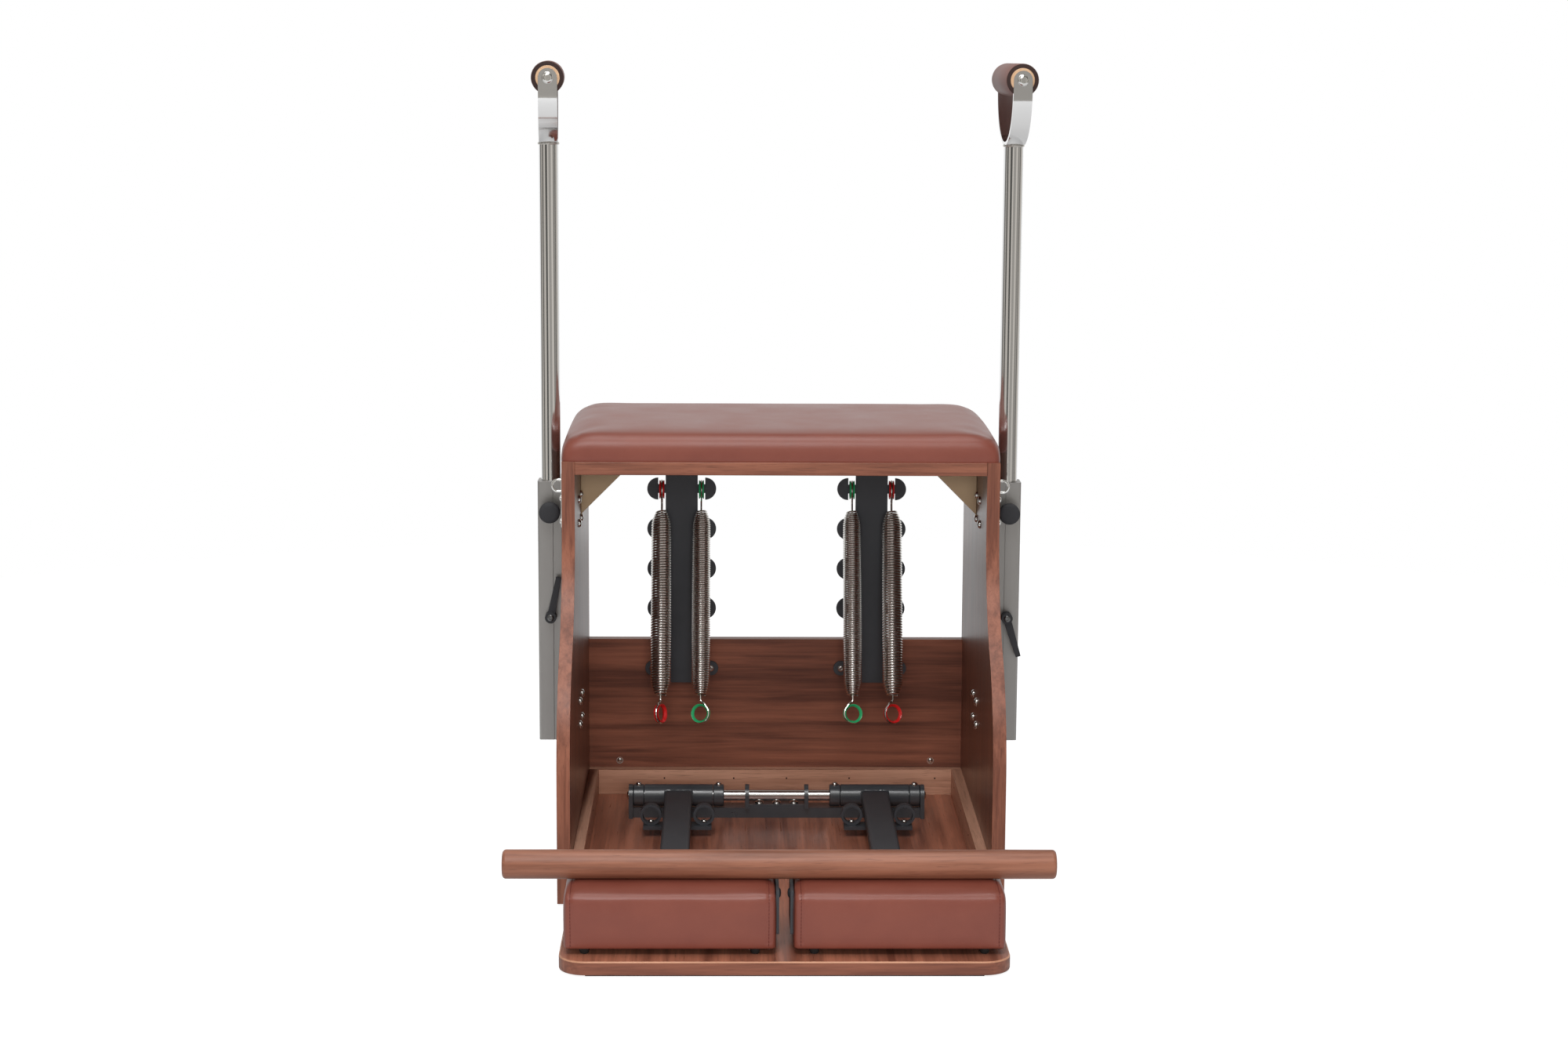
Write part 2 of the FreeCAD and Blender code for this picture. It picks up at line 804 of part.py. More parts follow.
def spring_wire(coil):
    """One unbroken tube: a straight end, the turns, and a straight end."""
    edges = []
    path = spring_path(coil)
    for (start, heading), (stop, arrival) in zip(path, path[1:]):
        if heading.dot(arrival) > 1 - STRAIGHT_SHARE:
            edges.append(Part.LineSegment(start, stop).toShape())
        else:
            edges += biarc(start, heading, stop, arrival)
    wire = size.spring_wire.number
    print("least gap between turns", round(least_gap(edges, wire), 2))
    section = Part.Wire(Part.Circle(path[0][0], Vector(0, 0, 1), wire / 2).toShape())
    shell = Part.BRepOffsetAPI.MakePipeShell(Part.Wire(edges))
    shell.add(section)
    shell.build()
    shell.makeSolid()
    return shell.shape()


def make_springs():
    lean = math.radians(SPRING_LEAN)
    eye_y = plate_face + size.plate_thickness / 2 - size.thimble_forward
    eye_z = top_lug_z - size.thimble_sag
    low_y = eye_y - math.sin(lean) * size.spring_reach
    low_z = eye_z - math.cos(lean) * size.spring_reach
    hang = FreeCAD.Rotation(Vector(1, 0, 0), -SPRING_LEAN)
    across_lug = FreeCAD.Rotation(Vector(0, 0, 1), 90)
    wires = {1: spring_wire(size.heavy_coil.number), -1: spring_wire(size.light_coil.number)}
    for name, side in SIDES.items():
        for place, across in (("inner", -1), ("outer", 1)):
            x = side * (size.plate_offset + across * neck_middle)
            turn = FreeCAD.Rotation(Vector(0, 0, 1), LOWER_EYE_TURNS[f"{name}_{place}"])
            spring = form(wires[across], FreeCAD.Placement(point(x, eye_y, eye_z), hang))
            node(f"{name}_{place}_spring", spring)
            eyes = group(thimble(x, eye_y, eye_z, hang.multiply(across_lug)),
                         thimble(x, low_y, low_z, hang.multiply(turn)))
            node(f"{name}_{place}_spring_eyes", eyes)


def thimble(x, y, z, turn):
    """The round eye at one end of a spring, which a lug's neck or a hook passes through."""
    start = -size.thimble_width / 2
    bore = rod("+y", (measure(0), start - size.overrun, measure(0)), size.thimble_width + 2 * size.overrun,
               size.thimble_bore)
    ring = rod("+y", (measure(0), start, measure(0)), size.thimble_width, size.thimble_radius)
    eye = cut(ring, bore)
    eye.Placement = FreeCAD.Placement(Vector(), turn)
    bind(eye, x=x, y=y, z=z)
    return eye


# Axle

def upright(middle, thickness, bottom):
    """A plate across the axle with a round top, and the hole through it still to cut."""
    start = middle - thickness / 2
    foot = block(about(middle, thickness), about(axle_y, 2 * size.hub_radius), (bottom, axle_z))
    return fuse(foot, rod("+x", (start, axle_y, axle_z), thickness, size.hub_radius))


def bracket_bolt_places():
    top = base_top + size.bar_height + size.bracket_floor
    return [(step * size.bracket_bolt_pitch, axle_y, top) for step in (-1, 0, 1)]


def bracket_bolt_shanks():
    return [rod("-z", seat, size.axle_bolt_length, size.axle_bolt_radius) for seat in bracket_bolt_places()]


def make_axle():
    outside = end_plate_inside + size.end_plate
    bar_top = base_top + size.bar_height
    bar_y = (axle_y - size.bar_lead, axle_y - size.bar_lead + size.bar_depth)
    pieces = [block((-outside, outside), bar_y, (base_top, bar_top))]
    pieces += [upright(side * (outside - size.end_plate / 2), size.end_plate, base_top) for side in (-1, 1)]
    through = rod("+x", (-outside - size.overrun, axle_y, axle_z), 2 * (outside + size.overrun),
                  size.axle_bolt_radius)
    node("axle_bar", cut(fuse(*pieces), through, *bracket_bolt_shanks()))

    tab_edge = size.tab_offset + size.tab_thickness / 2
    floor = block((-tab_edge, tab_edge), bar_y, (bar_top, bar_top + size.bracket_floor))
    tabs = [upright(side * size.tab_offset, size.tab_thickness, bar_top) for side in (-1, 1)]
    shaft_hole = rod("+x", (-end_plate_inside, axle_y, axle_z), 2 * end_plate_inside, size.shaft_radius)
    node("centre_bracket", cut(fuse(floor, *tabs), shaft_hole, *bracket_bolt_shanks()))

    shaft = rod("+x", (-end_plate_inside, axle_y, axle_z), 2 * end_plate_inside, size.shaft_radius)
    ends = [(out_way(side), (side * outside, axle_y, axle_z)) for side in (-1, 1)]
    bolts = [domed_bolt(way, seat, size.axle_bolt_head, size.axle_bolt_dome, size.axle_bolt_radius,
                        size.axle_bolt_length) for way, seat in ends]
    bolts += [domed_bolt("+z", seat, size.axle_bolt_head, size.axle_bolt_dome, size.axle_bolt_radius,
                         size.axle_bolt_length) for seat in bracket_bolt_places()]
    tapped = [rod(opposite(way), seat, size.axle_bolt_length, size.axle_bolt_radius) for way, seat in ends]
    node("axle_shaft", cut(shaft, *tapped))
    node("axle_bolts", group(*bolts))
    make_collars()


def collar_starts():
    """Inner ends of the four collars along x."""
    half = size.hub_length / 2 + size.collar_gap
    starts = []
    for side in (-1, 1):
        middle = side * size.arm_offset
        starts += [middle - half - size.collar_length, middle + half]
    return starts


def make_collars():
    collars = []
    screws = []
    for start in collar_starts():
        body = rod("+x", (start, axle_y, axle_z), size.collar_length, size.hub_radius)
        bore = rod("+x", (start - size.overrun, axle_y, axle_z), size.collar_length + 2 * size.overrun,
                   size.shaft_radius)
        depth = size.hub_radius - size.collar_flat - size.shaft_radius
        seat = (start + size.collar_length / 2, axle_y, axle_z + size.shaft_radius + depth)
        tapped = rod("-z", seat, depth, size.small_bolt_radius)
        flat = rod("+z", seat, size.overrun, size.small_bolt_head)
        collars.append(cut(body, bore, tapped, flat))
        screws.append(domed_bolt("+z", seat, size.small_bolt_head, size.screw_dome,
                                 size.small_bolt_radius, depth))
    node("shaft_collars", group(*collars))
    node("collar_screws", group(*screws))


# Pedals

def pedal_span(side):
    return side_span(side, size.pad_gap, size.pad_gap + size.pad_length)


def ring_places(side):
    """Middles of a pedal's two ring eyes, as x."""
    return [side * size.arm_offset + across * size.ring_offset for across in (-1, 1)]


def pedal_frame(side):
    """Hub, arm and spring eye plate, welded into one."""
    middle = side * size.arm_offset
    start = middle - size.hub_length / 2
    front = axle_y - size.arm_reach
    arm = prism("XZ", rounded(about(middle, size.arm_width), about(axle_z, size.arm_height), size.arm_corner),
                size.arm_reach, y=(front + axle_y) / 2)
    hollow = block(about(middle, size.arm_width - 2 * size.arm_wall),
                   (front - size.overrun, axle_y - size.hub_radius),
                   about(axle_z, size.arm_height - 2 * size.arm_wall))
    plate_y = axle_y - size.eye_plate_reach
    plate = block(about(middle, size.eye_plate_width), about(plate_y, size.eye_plate_depth),
                  (eye_plate_top - size.eye_plate_thickness, eye_plate_top))
    spacer = block(about(middle, size.arm_width - 2 * size.arm_corner), about(plate_y, size.eye_plate_depth),
                   (eye_plate_top, arm_bottom))
    hub = rod("+x", (start, axle_y, axle_z), size.hub_length, size.hub_radius)
    bore = rod("+x", (start - size.overrun, axle_y, axle_z), size.hub_length + 2 * size.overrun,
               size.bush_radius)
    wells = [eye_shank(x, plate_y) for x in ring_places(side)]
    return cut(fuse(cut(arm, hollow), spacer, plate, hub), bore, *wells)


def eye_seat(x, y):
    """Where a ring eye's bolt head sits, its rim on the curve inside the ring."""
    return (x, y, eye_plate_top + size.ring_wall - size.ring_flat + size.ring_seat)


def eye_shank(x, y):
    return rod("-z", eye_seat(x, y), size.small_bolt_length, size.small_bolt_radius)


def ring_eye(x, y):
    """A ring standing on the eye plate, with a flat seat and a hole for its bolt."""
    middle = (x, y - size.ring_depth / 2, eye_plate_top + size.ring_radius - size.ring_flat)
    outside = rod("+y", middle, size.ring_depth, size.ring_radius)
    inside = rod("+y", (x, middle[1] - size.overrun, middle[2]), size.ring_depth + 2 * size.overrun,
                 size.ring_radius - size.ring_wall)
    below = block(about(x, 2 * size.ring_radius), about(y, 2 * size.ring_depth),
                  (eye_plate_top - size.overrun, eye_plate_top))
    return cut(outside, inside, below, eye_shank(x, y))


def eye_bolt(x, y):
    return domed_bolt("+z", eye_seat(x, y), size.small_bolt_head, size.screw_dome, size.small_bolt_radius,
                      size.small_bolt_length)


def bushes(side):
    """Plain bearings pressed into both ends of a hub."""
    middle = side * size.arm_offset
    pieces = []
    for start in (middle - size.hub_length / 2, middle + size.hub_length / 2 - size.bush_length):
        bore = rod("+x", (start - size.overrun, axle_y, axle_z), size.bush_length + 2 * size.overrun,
                   size.shaft_radius + size.running_clearance)
        pieces.append(cut(rod("+x", (start, axle_y, axle_z), size.bush_length, size.bush_radius), bore))
    return group(*pieces)


def board_spans(side):
    """Plan of the board under a pad, which the pad wraps."""
    x = pedal_span(side)
    return ((x[0] + size.pad_wrap, x[1] - size.pad_wrap),
            (pad_front + size.pad_wrap, pad_front + size.pad_depth - size.pad_wrap))


def pedal_pad(side):
    """A padded block with room for its board and for the end of its arm."""
    y = (pad_front, pad_front + size.pad_depth)
    soft = form(cushion(
        pedal_span(side), y, (pad_bottom, pad_bottom + size.pad_height), size.pad_crown, size.pad_bulge,
        size.pad_round, size.pad_end_run, size.pad_end_drop, (size.pad_corner, size.pad_corner)))
    plan = board_spans(side)
    board = block(plan[0], plan[1], (pedal_board_bottom, pedal_board_top))
    arm = block(about(side * size.arm_offset, size.arm_width), (axle_y - size.arm_reach, axle_y),
                (pedal_board_top, arm_bottom + size.arm_height))
    return cut(soft, board, arm)


def end_cap(side):
    """The plate on a pad's inner end, with its bolt head."""
    y = pad_front + size.pad_depth / 2
    bottom = pad_bottom + size.end_cap_lift
    face = size.pad_gap - size.end_cap
    plate = block(side_span(side, face, size.pad_gap), about(y, size.end_cap_width),
                  (bottom, bottom + size.end_cap_height))
    seat = (side * face, y, bottom + size.end_cap_height - size.end_cap_bolt_drop)
    return fuse(plate, dome(out_way(-side), seat, size.axle_bolt_head, size.axle_bolt_dome))


def pedal_feet(side):
    x = pedal_span(side)
    y = pad_front + size.pedal_foot_setback
    ends = (x[0] + size.pedal_foot_inset, x[1] - size.pedal_foot_inset)
    feet = [rod("+z", (end, y, base_top), size.pedal_foot_height, size.pedal_foot_radius) for end in ends]
    return group(*feet)


def make_pedals():
    for name, side in SIDES.items():
        plate_y = axle_y - size.eye_plate_reach
        node(f"{name}_pedal_frame", pedal_frame(side))
        node(f"{name}_hub_bushes", bushes(side))
        node(f"{name}_ring_eyes", group(*[ring_eye(x, plate_y) for x in ring_places(side)]))
        node(f"{name}_eye_bolts", group(*[eye_bolt(x, plate_y) for x in ring_places(side)]))
        plan = board_spans(side)
        node(f"{name}_pedal_board", block(plan[0], plan[1], (pedal_board_bottom, pedal_board_top)))
        node(f"{name}_pedal_pad", pedal_pad(side))
        node(f"{name}_pad_end_cap", end_cap(side))
        node(f"{name}_pedal_feet", pedal_feet(side))


def make_dowel():
    half = size.dowel_length / 2
    edge = size.dowel_end_round
    radius = size.dowel_radius
    outline = [
        Corner(-half, 0), Corner(half, 0), Corner(half, radius - edge, edge), Corner(half - edge, radius),
        Corner(edge - half, radius, edge), Corner(-half, radius - edge),
    ]
    z = pad_top + size.rest_gap + radius
    node("pedal_dowel", turned("+x", outline, -size.dowel_shift, pad_front + size.dowel_setback, z))


# Handles

def make_sleeves():
    mounts = []
    bolts = []
    housings = []
    for name, side in SIDES.items():
        x = side * sleeve_x
        half = size.sleeve_size / 2
        body = prism("XY", rounded((-half, half), (-half, half), size.sleeve_corner), sleeve_length,
                     x=x, y=sleeve_y, z=sleeve_bottom + sleeve_length / 2)
        bore = rod("+z", (x, sleeve_y, sleeve_bottom - size.overrun), sleeve_length + 2 * size.overrun,
                   size.post_radius + size.running_clearance)
        groove = block(about(x - side * size.groove_offset, size.groove_width),
                       (sleeve_face - size.overrun, sleeve_face + size.groove_depth),
                       (sleeve_bottom - size.overrun, sleeve_top + size.overrun))
        wall = half - size.post_radius
        pin_hole = rod("+y", (x, sleeve_face, plunger_z), wall, size.pin_radius + size.running_clearance)
        stud_hole = rod("+y", (x, sleeve_face, lever_z), wall, size.stud_radius + size.running_clearance)
        node(f"{name}_sleeve", cut(body, bore, groove, pin_hole, stud_hole))
        housing = rod("-y", (x, sleeve_face, plunger_z), size.housing_length, size.housing_radius)
        pin_way = rod("-y", (x, sleeve_face, plunger_z), size.housing_length,
                      size.pin_radius + size.running_clearance)
        housings.append(cut(housing, pin_way))
        for level in mount_levels:
            plate = block(side_span(side, outer_half, outer_half + size.mount_thickness),
                          about(sleeve_y, size.mount_width), about(level, size.mount_height))
            holes = [mount_bolt_shank(side, y, z) for y, z in mount_bolt_places()]
            mounts.append(cut(plate, *holes))
        for y, z in mount_bolt_places():
            seat = (side * inner_half, y, z)
            bolts.append(domed_bolt(out_way(-side), seat, size.bolt_head, size.bolt_dome, size.bolt_radius,
                                    size.board + size.mount_thickness))
    node("sleeve_mounts", group(*mounts))
    node("sleeve_bolts", group(*bolts))
    node("plunger_housings", group(*housings))


def mount_bolt_shank(side, y, z):
    return rod(out_way(side), (side * inner_half, y, z), size.board + size.mount_thickness, size.bolt_radius)


def yoke_outline():
    """The strap's U, seen along its width: a half circle, then straight arms up to the middle of its tips."""
    inside = size.grip_length / 2 + size.grip_play
    outside = inside + size.yoke_strap
    top = size.yoke_rise
    return [
        Corner(-outside, outside, outside), Corner(0, 0, outside), Corner(outside, outside),
        Corner(outside, top), Corner(inside, top), Corner(inside, outside, -inside),
        Corner(0, size.yoke_strap, -inside), Corner(-inside, outside), Corner(-inside, top),
        Corner(-outside, top),
    ]


def handle_frame(side):
    """The post, a tube with index holes, and the strap yoke welded on its top."""
    x = side * sleeve_x
    tube = rod("+z", (x, sleeve_y, post_bottom), size.post_length + size.yoke_strap / 2, size.post_radius)
    hollow = rod("+z", (x, sleeve_y, post_bottom - size.overrun), size.post_length + size.overrun,
                 size.post_radius - size.post_wall)
    holes = [
        rod("-y", (x, sleeve_y, plunger_z - row * size.index_pitch), size.sleeve_size / 2, size.pin_radius)
        for row in range(INDEX_HOLES)
    ]
    strap = prism("YZ", yoke_outline(), size.yoke_width)
    inside = size.grip_length / 2 + size.grip_play
    tips = [rod(way, (measure(0), sign * inside, size.yoke_rise), size.yoke_strap, size.yoke_width / 2)
            for way, sign in (("+y", 1), ("-y", -1))]
    reach = inside + size.yoke_strap
    bolt_hole = rod("+y", (measure(0), -reach - size.overrun, size.yoke_rise), 2 * (reach + size.overrun),
                    size.grip_bolt_radius)
    yoke = cut(fuse(strap, *tips), bolt_hole)
    place_on_post(yoke, side)
    return fuse(cut(tube, hollow, *holes), yoke)


def place_on_post(item, side):
    """Turn a piece about the post and lift it to the post's top."""
    item.Placement = FreeCAD.Placement(Vector(), FreeCAD.Rotation(Vector(0, 0, 1), HANDLE_TURN))
    bind(item, x=side * sleeve_x, y=sleeve_y, z=post_top)
    return item


def grip_bolt():
    """A bolt through both arms of the yoke, with a domed head at each end."""
    reach = size.grip_length / 2 + size.grip_play + size.yoke_strap
    shank = rod("+y", (measure(0), -reach, size.yoke_rise), 2 * reach, size.grip_bolt_radius)
    heads = [dome(way, (measure(0), sign * reach, size.yoke_rise), size.grip_bolt_head, size.grip_bolt_dome)
             for way, sign in (("+y", 1), ("-y", -1))]
    return fuse(shank, *heads)


def grip_layer(outside, inside):
    """A tube of the grip, over its whole length."""
    half = size.grip_length / 2
    hole = rod("+y", (measure(0), -half - size.overrun, size.yoke_rise),
               size.grip_length + 2 * size.overrun, inside)
    return cut(rod("+y", (measure(0), -half, size.yoke_rise), size.grip_length, outside), hole)


def knob(side):
    """A pull knob with its pin, which stops just short of the post."""
    x = side * sleeve_x
    face = sleeve_face - size.housing_length - size.rest_gap
    edge = size.knob_round
    radius = size.knob_radius
    outline = [
        Corner(0, 0), Corner(size.knob_length, 0), Corner(size.knob_length, radius - edge, edge),
        Corner(size.knob_length - edge, radius), Corner(0, radius),
    ]
    grip = turned("-y", outline, x, face, plunger_z)
    pin_length = sleeve_y - size.post_radius - size.rest_gap - face
    return fuse(grip, rod("+y", (x, face, plunger_z), pin_length, size.pin_radius))


def lever(side):
    """A clamp lever: hub, tapered flat arm, and a stud through the sleeve's wall."""
    x = side * sleeve_x
    hub_face = sleeve_face - size.rest_gap
    outline = [
        Corner(-size.lever_root / 2, 0), Corner(size.lever_root / 2, 0),
        Corner(size.lever_tip / 2, size.lever_length), Corner(-size.lever_tip / 2, size.lever_length),
    ]
    arm = prism("XZ", outline, size.lever_thickness)
    arm.Placement = FreeCAD.Placement(Vector(), FreeCAD.Rotation(Vector(0, 1, 0), LEVER_TURNS[side]))
    bind(arm, x=x, y=hub_face - size.lever_hub_length / 2, z=lever_z)
    hub = rod("-y", (x, hub_face, lever_z), size.lever_hub_length, size.lever_hub_radius)
    stud_length = sleeve_y - size.post_radius - size.rest_gap - hub_face
    stud = rod("+y", (x, hub_face, lever_z), stud_length, size.stud_radius)
    return fuse(hub, arm, stud)


def make_handles():
    make_sleeves()
    for name, side in SIDES.items():
        node(f"{name}_handle_frame", handle_frame(side))
        node(f"{name}_grip_bolt", place_on_post(grip_bolt(), side))
        bore = size.grip_bolt_radius + size.running_clearance
        node(f"{name}_grip_core", place_on_post(grip_layer(size.core_radius, bore), side))
        node(f"{name}_grip_sleeve", place_on_post(grip_layer(size.grip_radius, size.core_radius), side))
        node(f"{name}_knob", knob(side))
        node(f"{name}_lever", lever(side))


# Strap eyes and wood screws

def strap_screw_shank(side, z):
    return rod(out_way(-side), (side * strap_face, strap_y, z), size.screw_length, size.screw_radius)


def strap_eye(side):
    """A plate on the panel with a wire loop standing out of it."""
    bottom = strap_plate_top - size.strap_plate_height
    plate = block(side_span(side, outer_half, strap_face), about(strap_y, size.strap_plate_width),
                  (bottom, strap_plate_top))
    bend_x = strap_face + size.strap_loop_leg
    legs = [
        rod(out_way(side), (side * strap_face, strap_y, strap_loop_z + up * size.strap_loop_radius),
            size.strap_loop_leg, size.strap_loop_wire)
        for up in (-1, 1)
    ]
    loop = doc.addObject("Part::Torus", "Loop")
    loop.Angle3 = 180
    standing = FreeCAD.Rotation(Vector(0, 0, side), Vector(1, 0, 0), Vector(0, 1, 0))
    loop.Placement = FreeCAD.Placement(Vector(), standing)
    bind(loop, Radius1=size.strap_loop_radius, Radius2=size.strap_loop_wire,
         x=side * bend_x, y=strap_y, z=strap_loop_z)
    return cut(fuse(plate, loop, *legs), *[strap_screw_shank(side, z) for z in strap_screw_places()])


def make_strap_eyes():
    node("strap_eyes", group(*[strap_eye(side) for side in (-1, 1)]))
    screws = [domed_bolt("-y", seat, size.screw_head, size.screw_dome, size.screw_radius, size.screw_length)
              for seat in back_screw_places()]
    for side in (-1, 1):
        for z in strap_screw_places():
            seat = (side * strap_face, strap_y, z)
            screws.append(domed_bolt(out_way(side), seat, size.screw_head, size.screw_dome,
                                     size.screw_radius, size.screw_length))
    node("wood_screws", group(*screws))


# The whole chair

make_base()
make_panels()
make_seat()
make_back()
make_gussets()
make_spring_plates()
make_springs()
make_axle()
make_pedals()
make_dowel()
make_handles()
make_strap_eyes()
doc.recompute()

faults = [item.Label for item in doc.Objects if "Invalid" in item.State or "Error" in item.State]
faults += [item.Label for item in nodes if item.Shape.isNull() or not item.Shape.isValid()]
if faults:
    raise RuntimeError("faulty objects: " + ", ".join(faults))

os.makedirs("parts", exist_ok=True)
for item in nodes:
    item.Shape.exportStep(f"parts/{item.Label}.step")
    print(item.Label, len(item.Shape.Solids), round(item.Shape.Volume))
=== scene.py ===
"""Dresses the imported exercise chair: walnut boards, leather pads, springs and bright fittings."""
import logging
import math
from contextlib import contextmanager
from dataclasses import dataclass
from enum import Enum
from typing import Callable, Iterator, Sequence

import bpy
from mathutils import Matrix, Vector


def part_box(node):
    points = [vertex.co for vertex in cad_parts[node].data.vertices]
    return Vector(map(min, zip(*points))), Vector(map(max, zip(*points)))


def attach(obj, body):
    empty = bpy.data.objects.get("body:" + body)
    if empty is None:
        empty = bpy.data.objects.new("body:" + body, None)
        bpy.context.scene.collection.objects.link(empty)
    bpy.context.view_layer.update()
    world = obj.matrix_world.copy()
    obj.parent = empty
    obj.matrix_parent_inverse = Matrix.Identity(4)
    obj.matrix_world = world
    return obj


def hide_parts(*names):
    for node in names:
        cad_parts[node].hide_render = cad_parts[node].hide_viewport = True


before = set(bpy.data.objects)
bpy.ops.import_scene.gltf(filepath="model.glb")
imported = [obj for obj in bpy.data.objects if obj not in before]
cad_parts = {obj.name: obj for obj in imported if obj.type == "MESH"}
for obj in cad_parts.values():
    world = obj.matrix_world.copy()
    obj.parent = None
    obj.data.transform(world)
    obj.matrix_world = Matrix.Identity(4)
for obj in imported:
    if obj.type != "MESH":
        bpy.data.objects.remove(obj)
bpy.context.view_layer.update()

LOG = logging.getLogger("chair")
MM = 0.001
UP = Vector((0.0, 0.0, 1.0))
FORWARD = Vector((0.0, -1.0, 0.0))
SMOOTH_ANGLE = math.radians(35.0)
SHARP_ANGLE = math.radians(40.0)
FLAT_ANGLE = math.radians(1.0)
MERGE = 0.01 * MM
ROUND_SIDES = 40
SIDES = (-1.0, 1.0)

# Places that several sub-assemblies share: y and z of the axle, x and y of the posts, a height
AXLE_PLACE = (260.0 * MM, 53.0 * MM)
HUB_RADIUS = 16.0 * MM
POST_PLACE = (322.0 * MM, 165.0 * MM)
PLUNGER_LEVEL = 495.0 * MM

Piece = bpy.types.Object
Socket = bpy.types.NodeSocket
Sockets = bpy.types.bpy_prop_collection
Span = tuple[float, float]
Triple = tuple[float, float, float]
Colour = tuple[float, float, float, float]
WHITE: Colour = (1.0, 1.0, 1.0, 1.0)
Profile = Sequence[Span]
Places = Sequence[tuple[Vector, Vector]]
FaceChoice = Callable[[bpy.types.MeshPolygon], int]


# Colours and node trees

def srgb(red: int, green: int, blue: int) -> Colour:
    """Turn a colour as a screen shows it into linear light.

    Args:
        red: Red level from 0 to 255.
        green: Green level from 0 to 255.
        blue: Blue level from 0 to 255.

    Returns:
        The linear colour with full alpha.
    """
    def linear(level: int) -> float:
        """Undo the screen curve for one level."""
        share = level / 255.0
        return share / 12.92 if share <= 0.04045 else ((share + 0.055) / 1.055) ** 2.4

    return (linear(red), linear(green), linear(blue), 1.0)


class NodeBuilder:
    """Adds nodes to one tree and joins them."""

    def __init__(self, tree: bpy.types.NodeTree) -> None:
        """Keep the tree that the nodes go into."""
        self.tree = tree

    def add(self, kind: str, inputs: dict | None = None, **settings: object) -> bpy.types.Node:
        """Add a node.

        Args:
            kind: The node's type name.
            inputs: A value or a socket for each input, by name or number.
            settings: Attributes of the node, set before its inputs.

        Returns:
            The new node.
        """
        node = self.tree.nodes.new(kind)
        for name, value in settings.items():
            setattr(node, name, value)
        for key, value in (inputs or {}).items():
            self.feed(node.inputs[key], value)
        return node

    def feed(self, socket: Socket, value: object) -> None:
        """Link a socket to an input, or set the input's own value.

        Args:
            socket: The input.
            value: The socket to link it to, or a plain value.
        """
        if isinstance(value, Socket):
            self.tree.links.new(value, socket)
        else:
            socket.default_value = value

    def maths(self, operation: str, first: object, second: object) -> Socket:
        """Combine two values with one operation."""
        return self.add("ShaderNodeMath", {0: first, 1: second}, operation=operation).outputs[0]

    def mix(self, factor: object, first: object, second: object) -> Socket:
        """Blend two colours."""
        node = self.add("ShaderNodeMix", {0: factor, 6: first, 7: second}, data_type="RGBA")
        return node.outputs[2]

    def remap(self, value: Socket, given: Span, wanted: Span = (0.0, 1.0)) -> Socket:
        """Stretch one range of values to another and clamp it.

        Args:
            value: The values to change.
            given: The range that they come in.
            wanted: The range that they go out in.

        Returns:
            The changed values.
        """
        node = self.add("ShaderNodeMapRange", {
            "Value": value, "From Min": given[0], "From Max": given[1],
            "To Min": wanted[0], "To Max": wanted[1]})
        return node.outputs["Result"]

    def noise(self, vector: Socket, scale: object, detail: float = 4.0,
              roughness: float = 0.55, distortion: float = 0.0) -> Socket:
        """Add a noise texture.

        Args:
            vector: The coordinates that it reads.
            scale: How fine it is.
            detail: How many finer layers it has.
            roughness: How strong the finer layers are.
            distortion: How far it is swirled.

        Returns:
            The noise's value.
        """
        node = self.add("ShaderNodeTexNoise", {
            "Vector": vector, "Scale": scale, "Detail": detail,
            "Roughness": roughness, "Distortion": distortion})
        return node.outputs["Fac"]

    def stretch(self, vector: Socket, scale: Triple) -> Socket:
        """Scale a pattern's coordinates."""
        return self.add("ShaderNodeMapping", {"Vector": vector, "Scale": scale}).outputs["Vector"]

    def turn(self, vector: Socket, rotation: Triple) -> Socket:
        """Turn a pattern's coordinates."""
        return self.add("ShaderNodeMapping", {"Vector": vector, "Rotation": rotation}).outputs["Vector"]

    def weigh(self, first: Socket, second: Socket, share: float) -> Socket:
        """Add a share of one value to the rest of another."""
        part = self.maths("MULTIPLY", first, share)
        return self.maths("ADD", part, self.maths("MULTIPLY", second, 1.0 - share))

    def bump(self, height: Socket, strength: float, distance: float) -> Socket:
        """Turn a height into a normal."""
        node = self.add("ShaderNodeBump", {"Height": height, "Strength": strength, "Distance": distance})
        return node.outputs["Normal"]


# Effects that several finishes share

class Effect:
    """A shader node group with a vector input, a few numbers and named results."""

    name = ""
    numbers: dict[str, float] = {}
    results: tuple[str, ...] = ()

    def fill(self, nodes: NodeBuilder, given: Sockets, wanted: Sockets) -> None:
        """Build the nodes between the group's inputs and its results.

        Args:
            nodes: The group's builder.
            given: The group's inputs.
            wanted: The group's results.
        """
        raise NotImplementedError

    def tree(self) -> bpy.types.NodeTree:
        """Make the node group on first use.

        Returns:
            The group.
        """
        known = bpy.data.node_groups.get(self.name)
        if known is not None:
            return known
        tree = bpy.data.node_groups.new(self.name, "ShaderNodeTree")
        tree.interface.new_socket("Vector", in_out="INPUT", socket_type="NodeSocketVector")
        for name, value in self.numbers.items():
            socket = tree.interface.new_socket(name, in_out="INPUT", socket_type="NodeSocketFloat")
            socket.default_value = value
        for name in self.results:
            tree.interface.new_socket(name, in_out="OUTPUT", socket_type="NodeSocketFloat")
        nodes = NodeBuilder(tree)
        given = nodes.add("NodeGroupInput").outputs
        wanted = nodes.add("NodeGroupOutput").inputs
        self.fill(nodes, given, wanted)
        return tree

    def place(self, nodes: NodeBuilder, vector: Socket, **numbers: float) -> Sockets:
        """Put the group into a material.

        Args:
            nodes: The material's builder.
            vector: The coordinates that the pattern reads.
            numbers: Values for the group's own inputs, spaces written as underscores.

        Returns:
            The group's outputs.
        """
        inputs = {"Vector": vector}
        inputs.update({name.replace("_", " "): value for name, value in numbers.items()})
        return nodes.add("ShaderNodeGroup", inputs, node_tree=self.tree()).outputs


